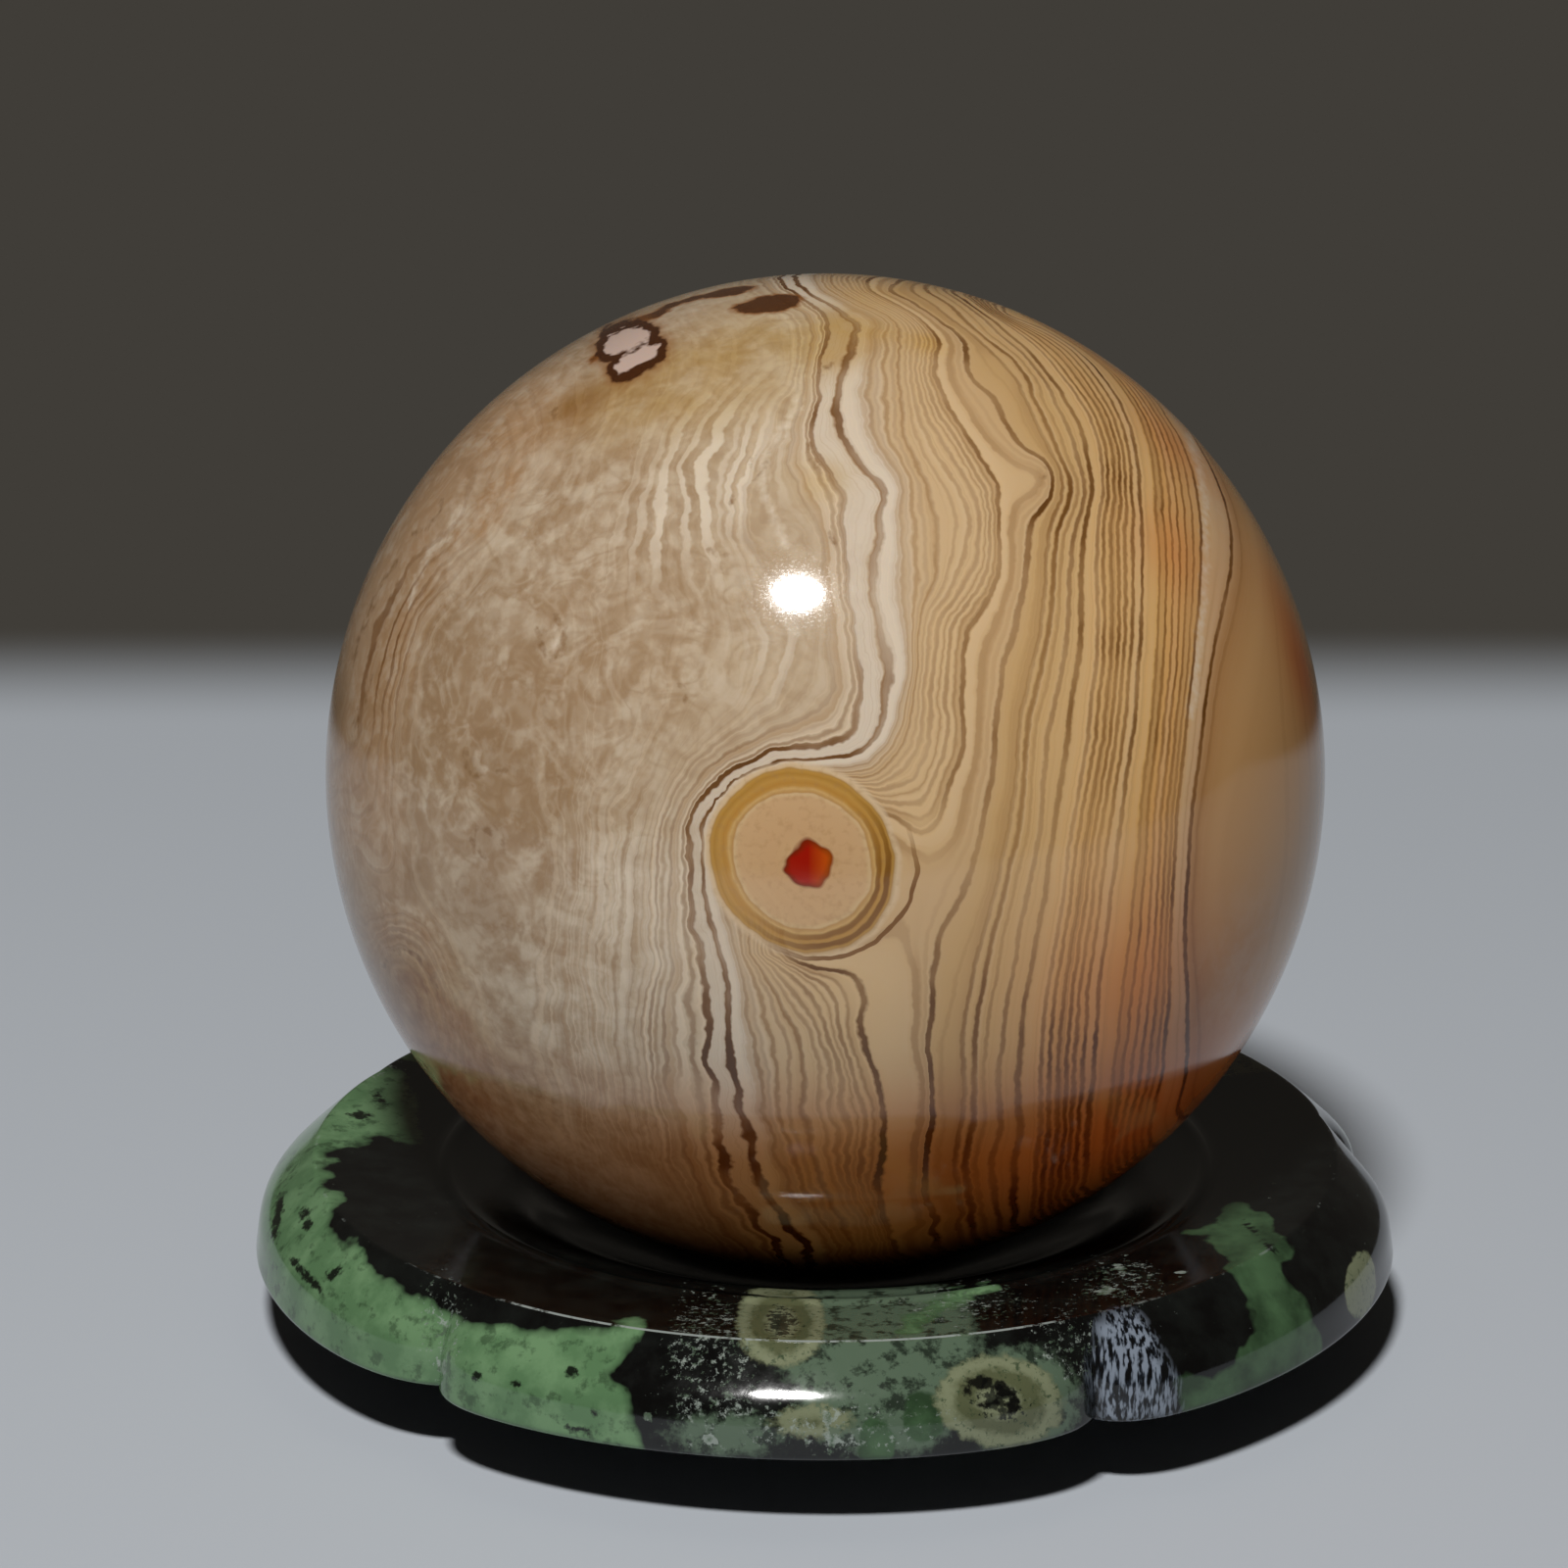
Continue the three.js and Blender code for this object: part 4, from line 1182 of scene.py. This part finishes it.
class AGATE_OT_stand(bpy.types.Operator):
    """Makes the lobed stand of dark stone"""

    bl_idname = "agate.stand"
    bl_label = "Lobed stand"

    def execute(self, context):
        settings = context.scene.agate_stand
        shape = bmesh.new()
        section = [
            shape.verts.new((radius * MM, 0, height * MM))
            for radius, height in stand_section(settings.crease_rounding / MM)
        ]
        edges = [shape.edges.new(pair) for pair in zip(section, section[1:])]
        # One lobe is turned from the section and repeated round the stand
        spin = functools.partial(bmesh.ops.spin, shape, cent=(0, 0, 0), axis=(0, 0, 1), dvec=(0, 0, 0))
        spin(geom=section + edges, angle=math.radians(LOBE_ANGLE), steps=settings.steps_per_lobe)
        spin(
            geom=shape.verts[:] + shape.edges[:] + shape.faces[:], angle=math.radians(360 - LOBE_ANGLE),
            steps=LOBE_COUNT - 1, use_duplicate=True,
        )
        bmesh.ops.remove_doubles(shape, verts=shape.verts[:], dist=WELD_DISTANCE * MM)
        bmesh.ops.recalc_face_normals(shape, faces=shape.faces[:])
        if shape.calc_volume(signed=True) < 0:
            bmesh.ops.reverse_faces(shape, faces=shape.faces[:])
        mesh = as_mesh(shape, "lobed_stand")

        points = vectors(mesh.vertices, "co")
        radius = np.hypot(points[:, 0], points[:, 1])
        crease_gap = radius / MM - LOBE_RADIUS + CREASE_INSET + WORN_INSET
        crease_gap += UNDERSIDE_APART * (points[:, 2] < UNDERSIDE_HEIGHT * MM)
        # The rim is drawn in at the notches, more gently before each than after it
        lobes = np.degrees(np.arctan2(points[:, 1], points[:, 0])) / LOBE_ANGLE
        past_notch = (lobes - np.floor(lobes + SAME_TURN)) * LOBE_ANGLE
        drawn_in = np.exp(-past_notch / NOTCH_SIDE_AFTER)
        drawn_in += np.exp(-(LOBE_ANGLE - past_notch) / NOTCH_SIDE_BEFORE)
        radius -= smooth_step(radius / MM, NOTCH_RUN_OUT, LOBE_RADIUS) * NOTCH_DEPTH * drawn_in * MM
        angle = np.radians(lobes * LOBE_ANGLE + FIRST_NOTCH)
        points[:, 0], points[:, 1] = radius * np.cos(angle), radius * np.sin(angle)
        mesh.vertices.foreach_set("co", points.ravel())
        mesh.update()

        seen = smooth_step(vectors(mesh.vertex_normals, "vector") @ np.array(TOWARD), *STAND_SEEN)
        across, down, _ = to_pixels(points)

        def placed(hidden=(), **markings):
            """Depth in millimetres inside markings seen in the photograph and guessed ones on the back."""
            front = np.clip(marking_depth(across, down, **markings), -DEEPEST, DEEPEST)
            depth = front * seen - DEEPEST * (1 - seen)
            for turn, distance, height, size in hidden:
                turn = math.radians(turn)
                middle = (distance * math.cos(turn) * MM, distance * math.sin(turn) * MM, height * MM)
                depth = np.maximum(depth, size - np.linalg.norm(points - middle, axis=1) / MM)
            return depth

        smooth_olive = np.minimum(SMOOTH_RISE * placed(ellipses=SMOOTH_OLIVE), SMOOTH_DEPTH)
        worn = smooth_step(placed(ellipses=WORN_ELLIPSES), *WORN_EDGE)
        share = smooth_step(placed(GRAIN_BACK, ellipses=GRAIN_ELLIPSES), *GRAIN_EDGE)
        share = GRAIN_RARE + (GRAIN_THICK - GRAIN_RARE) * share
        share += (1 - share) * smooth_step(placed(ellipses=WHITE_ELLIPSES), *WHITE_EDGE)
        set_values(
            mesh, crease_gap=crease_gap, grain_share=share,
            green_depth=placed(GREEN_BACK, outlines=GREEN_OUTLINES, ellipses=GREEN_ELLIPSES),
            vein_depth=placed(outlines=VEIN_OUTLINES, ellipses=VEIN_ELLIPSES),
            olive_depth=np.maximum(placed(OLIVE_BACK, ellipses=OLIVE_ELLIPSES), smooth_olive),
            dark_depth=placed(DARK_BACK, outlines=DARK_OUTLINES, ellipses=DARK_ELLIPSES),
            ground_depth=placed(GROUND_BACK, ellipses=GROUND_ELLIPSES),
            fibre_depth=placed(outlines=FIBRE_OUTLINES),
            worn_share=WORN_SHARES[0] + (WORN_SHARES[1] - WORN_SHARES[0]) * worn,
        )
        finish_piece("stone_stand", mesh, stone_material(mesh, settings), "lobed_stand")
        mesh.set_sharp_from_angle(angle=math.radians(SHARP_ANGLE))
        return {"FINISHED"}


class AGATE_OT_stage(bpy.types.Operator):
    """Makes the table top, the light and the camera"""

    bl_idname = "agate.stage"
    bl_label = "Stage"

    def execute(self, context):
        scene = context.scene
        settings = scene.agate_stage

        def placed(name, data):
            """A new object in the scene."""
            thing = bpy.data.objects.new(name, data)
            scene.collection.objects.link(thing)
            return thing

        shape = bmesh.new()
        bmesh.ops.create_grid(shape, x_segments=1, y_segments=1, size=1)
        half_size = (TABLE_WIDTH / 2 * MM, (TABLE_BACK - TABLE_FRONT) / 2 * MM, 1)
        bmesh.ops.scale(shape, vec=half_size, verts=shape.verts[:])
        bmesh.ops.translate(shape, vec=(0, (TABLE_BACK + TABLE_FRONT) / 2 * MM, 0), verts=shape.verts[:])
        mesh = as_mesh(shape, "table_top")
        material, add = new_material("table_white_satin")
        # The far edge fades, as it is out of focus in the photograph
        along = add("SeparateXYZ", {0: add("TexCoord", output="Object")}, 1)
        fade = {0: along, 1: (TABLE_BACK - TABLE_FADE) * MM, 2: TABLE_BACK * MM, 3: 1.0, 4: 0.0}
        add("OutputMaterial", {"Surface": add("BsdfPrincipled", {
            "Base Color": linear(TABLE_COLOUR), "Roughness": TABLE_ROUGHNESS,
            "Alpha": add("MapRange", fade, interpolation_type="SMOOTHSTEP"),
        })})
        mesh.materials.append(material)
        placed("table_top", mesh)

        light = bpy.data.lights.new("key_light", "AREA")
        light.shape = "ELLIPSE"
        light.size = settings.key_width
        light.size_y = settings.key_height
        light.energy = settings.key_power
        light.color = KEY_COLOUR
        key = placed("key_light", light)
        toward_key = Vector(KEY_DIRECTION).normalized()
        key.location = BALL_CENTRE + toward_key * KEY_DISTANCE
        key.rotation_euler = toward_key.to_track_quat("Z", "Y").to_euler()

        # The surround is seen and mirrored dark, and lights dull surfaces even less
        world = bpy.data.worlds.new("dim_surround")
        world.use_nodes = True
        world.node_tree.nodes.clear()
        add = functools.partial(add_node, world.node_tree)
        strength = add("MapRange", {
            0: add("LightPath", output="Is Diffuse Ray"), 3: settings.surround,
            4: settings.surround * DIFFUSE_SHARE,
        })
        background = add("Background", {"Color": linear(SURROUND_COLOUR), "Strength": strength})
        add("OutputWorld", {"Surface": background})
        scene.world = world

        camera_data = bpy.data.cameras.new("camera")
        camera_data.sensor_width = SENSOR_WIDTH
        camera_data.lens = FOCAL_PIXELS / IMAGE_PIXELS * SENSOR_WIDTH
        camera = placed("camera", camera_data)
        # The ball's centre lies a little to the right of and above the middle of the picture
        middle = IMAGE_PIXELS / 2
        seen = Vector((BALL_CENTRE_PIXEL[0] - middle, middle - BALL_CENTRE_PIXEL[1], -FOCAL_PIXELS))
        turn = seen.normalized().rotation_difference(Vector((0, 0, -1))).to_matrix()
        turn = Matrix((RIGHT, UP, TOWARD)).transposed() @ turn
        camera.matrix_world = Matrix.Translation(BALL_CENTRE + TOWARD * CAMERA_DISTANCE) @ turn.to_4x4()
        scene.camera = camera
        scene.view_settings.view_transform = "Standard"
        return {"FINISHED"}


class AGATE_PT_panel(bpy.types.Panel):
    """Lists the pieces that this script makes"""

    bl_idname = "AGATE_PT_panel"
    bl_label = "Agate ball on its stand"
    bl_space_type = "VIEW_3D"
    bl_region_type = "UI"
    bl_category = "Agate"

    def draw(self, context):
        for name, (_, operator) in PARTS.items():
            settings = getattr(context.scene, name)
            box = self.layout.box()
            for setting in settings.__annotations__:
                box.prop(settings, setting)
            box.operator(operator.bl_idname)


# The name that a scene keeps each part's settings by, the settings and the operator, in the order of making
PARTS = {
    "agate_ball": (AgateBallSettings, AGATE_OT_ball),
    "agate_stand": (LobedStandSettings, AGATE_OT_stand),
    "agate_stage": (AgateStageSettings, AGATE_OT_stage),
}


def register():
    for name, (settings, operator) in PARTS.items():
        bpy.utils.register_class(settings)
        bpy.utils.register_class(operator)
        setattr(bpy.types.Scene, name, bpy.props.PointerProperty(type=settings))
    bpy.utils.register_class(AGATE_PT_panel)


def unregister():
    bpy.utils.unregister_class(AGATE_PT_panel)
    for name, (settings, operator) in reversed(PARTS.items()):
        delattr(bpy.types.Scene, name)
        bpy.utils.unregister_class(operator)
        bpy.utils.unregister_class(settings)


def main():
    register()
    for make in (bpy.ops.agate.ball, bpy.ops.agate.stand, bpy.ops.agate.stage):
        if make() != {"FINISHED"}:
            raise RuntimeError("A piece was not made")


if __name__ == "__main__":
    main()
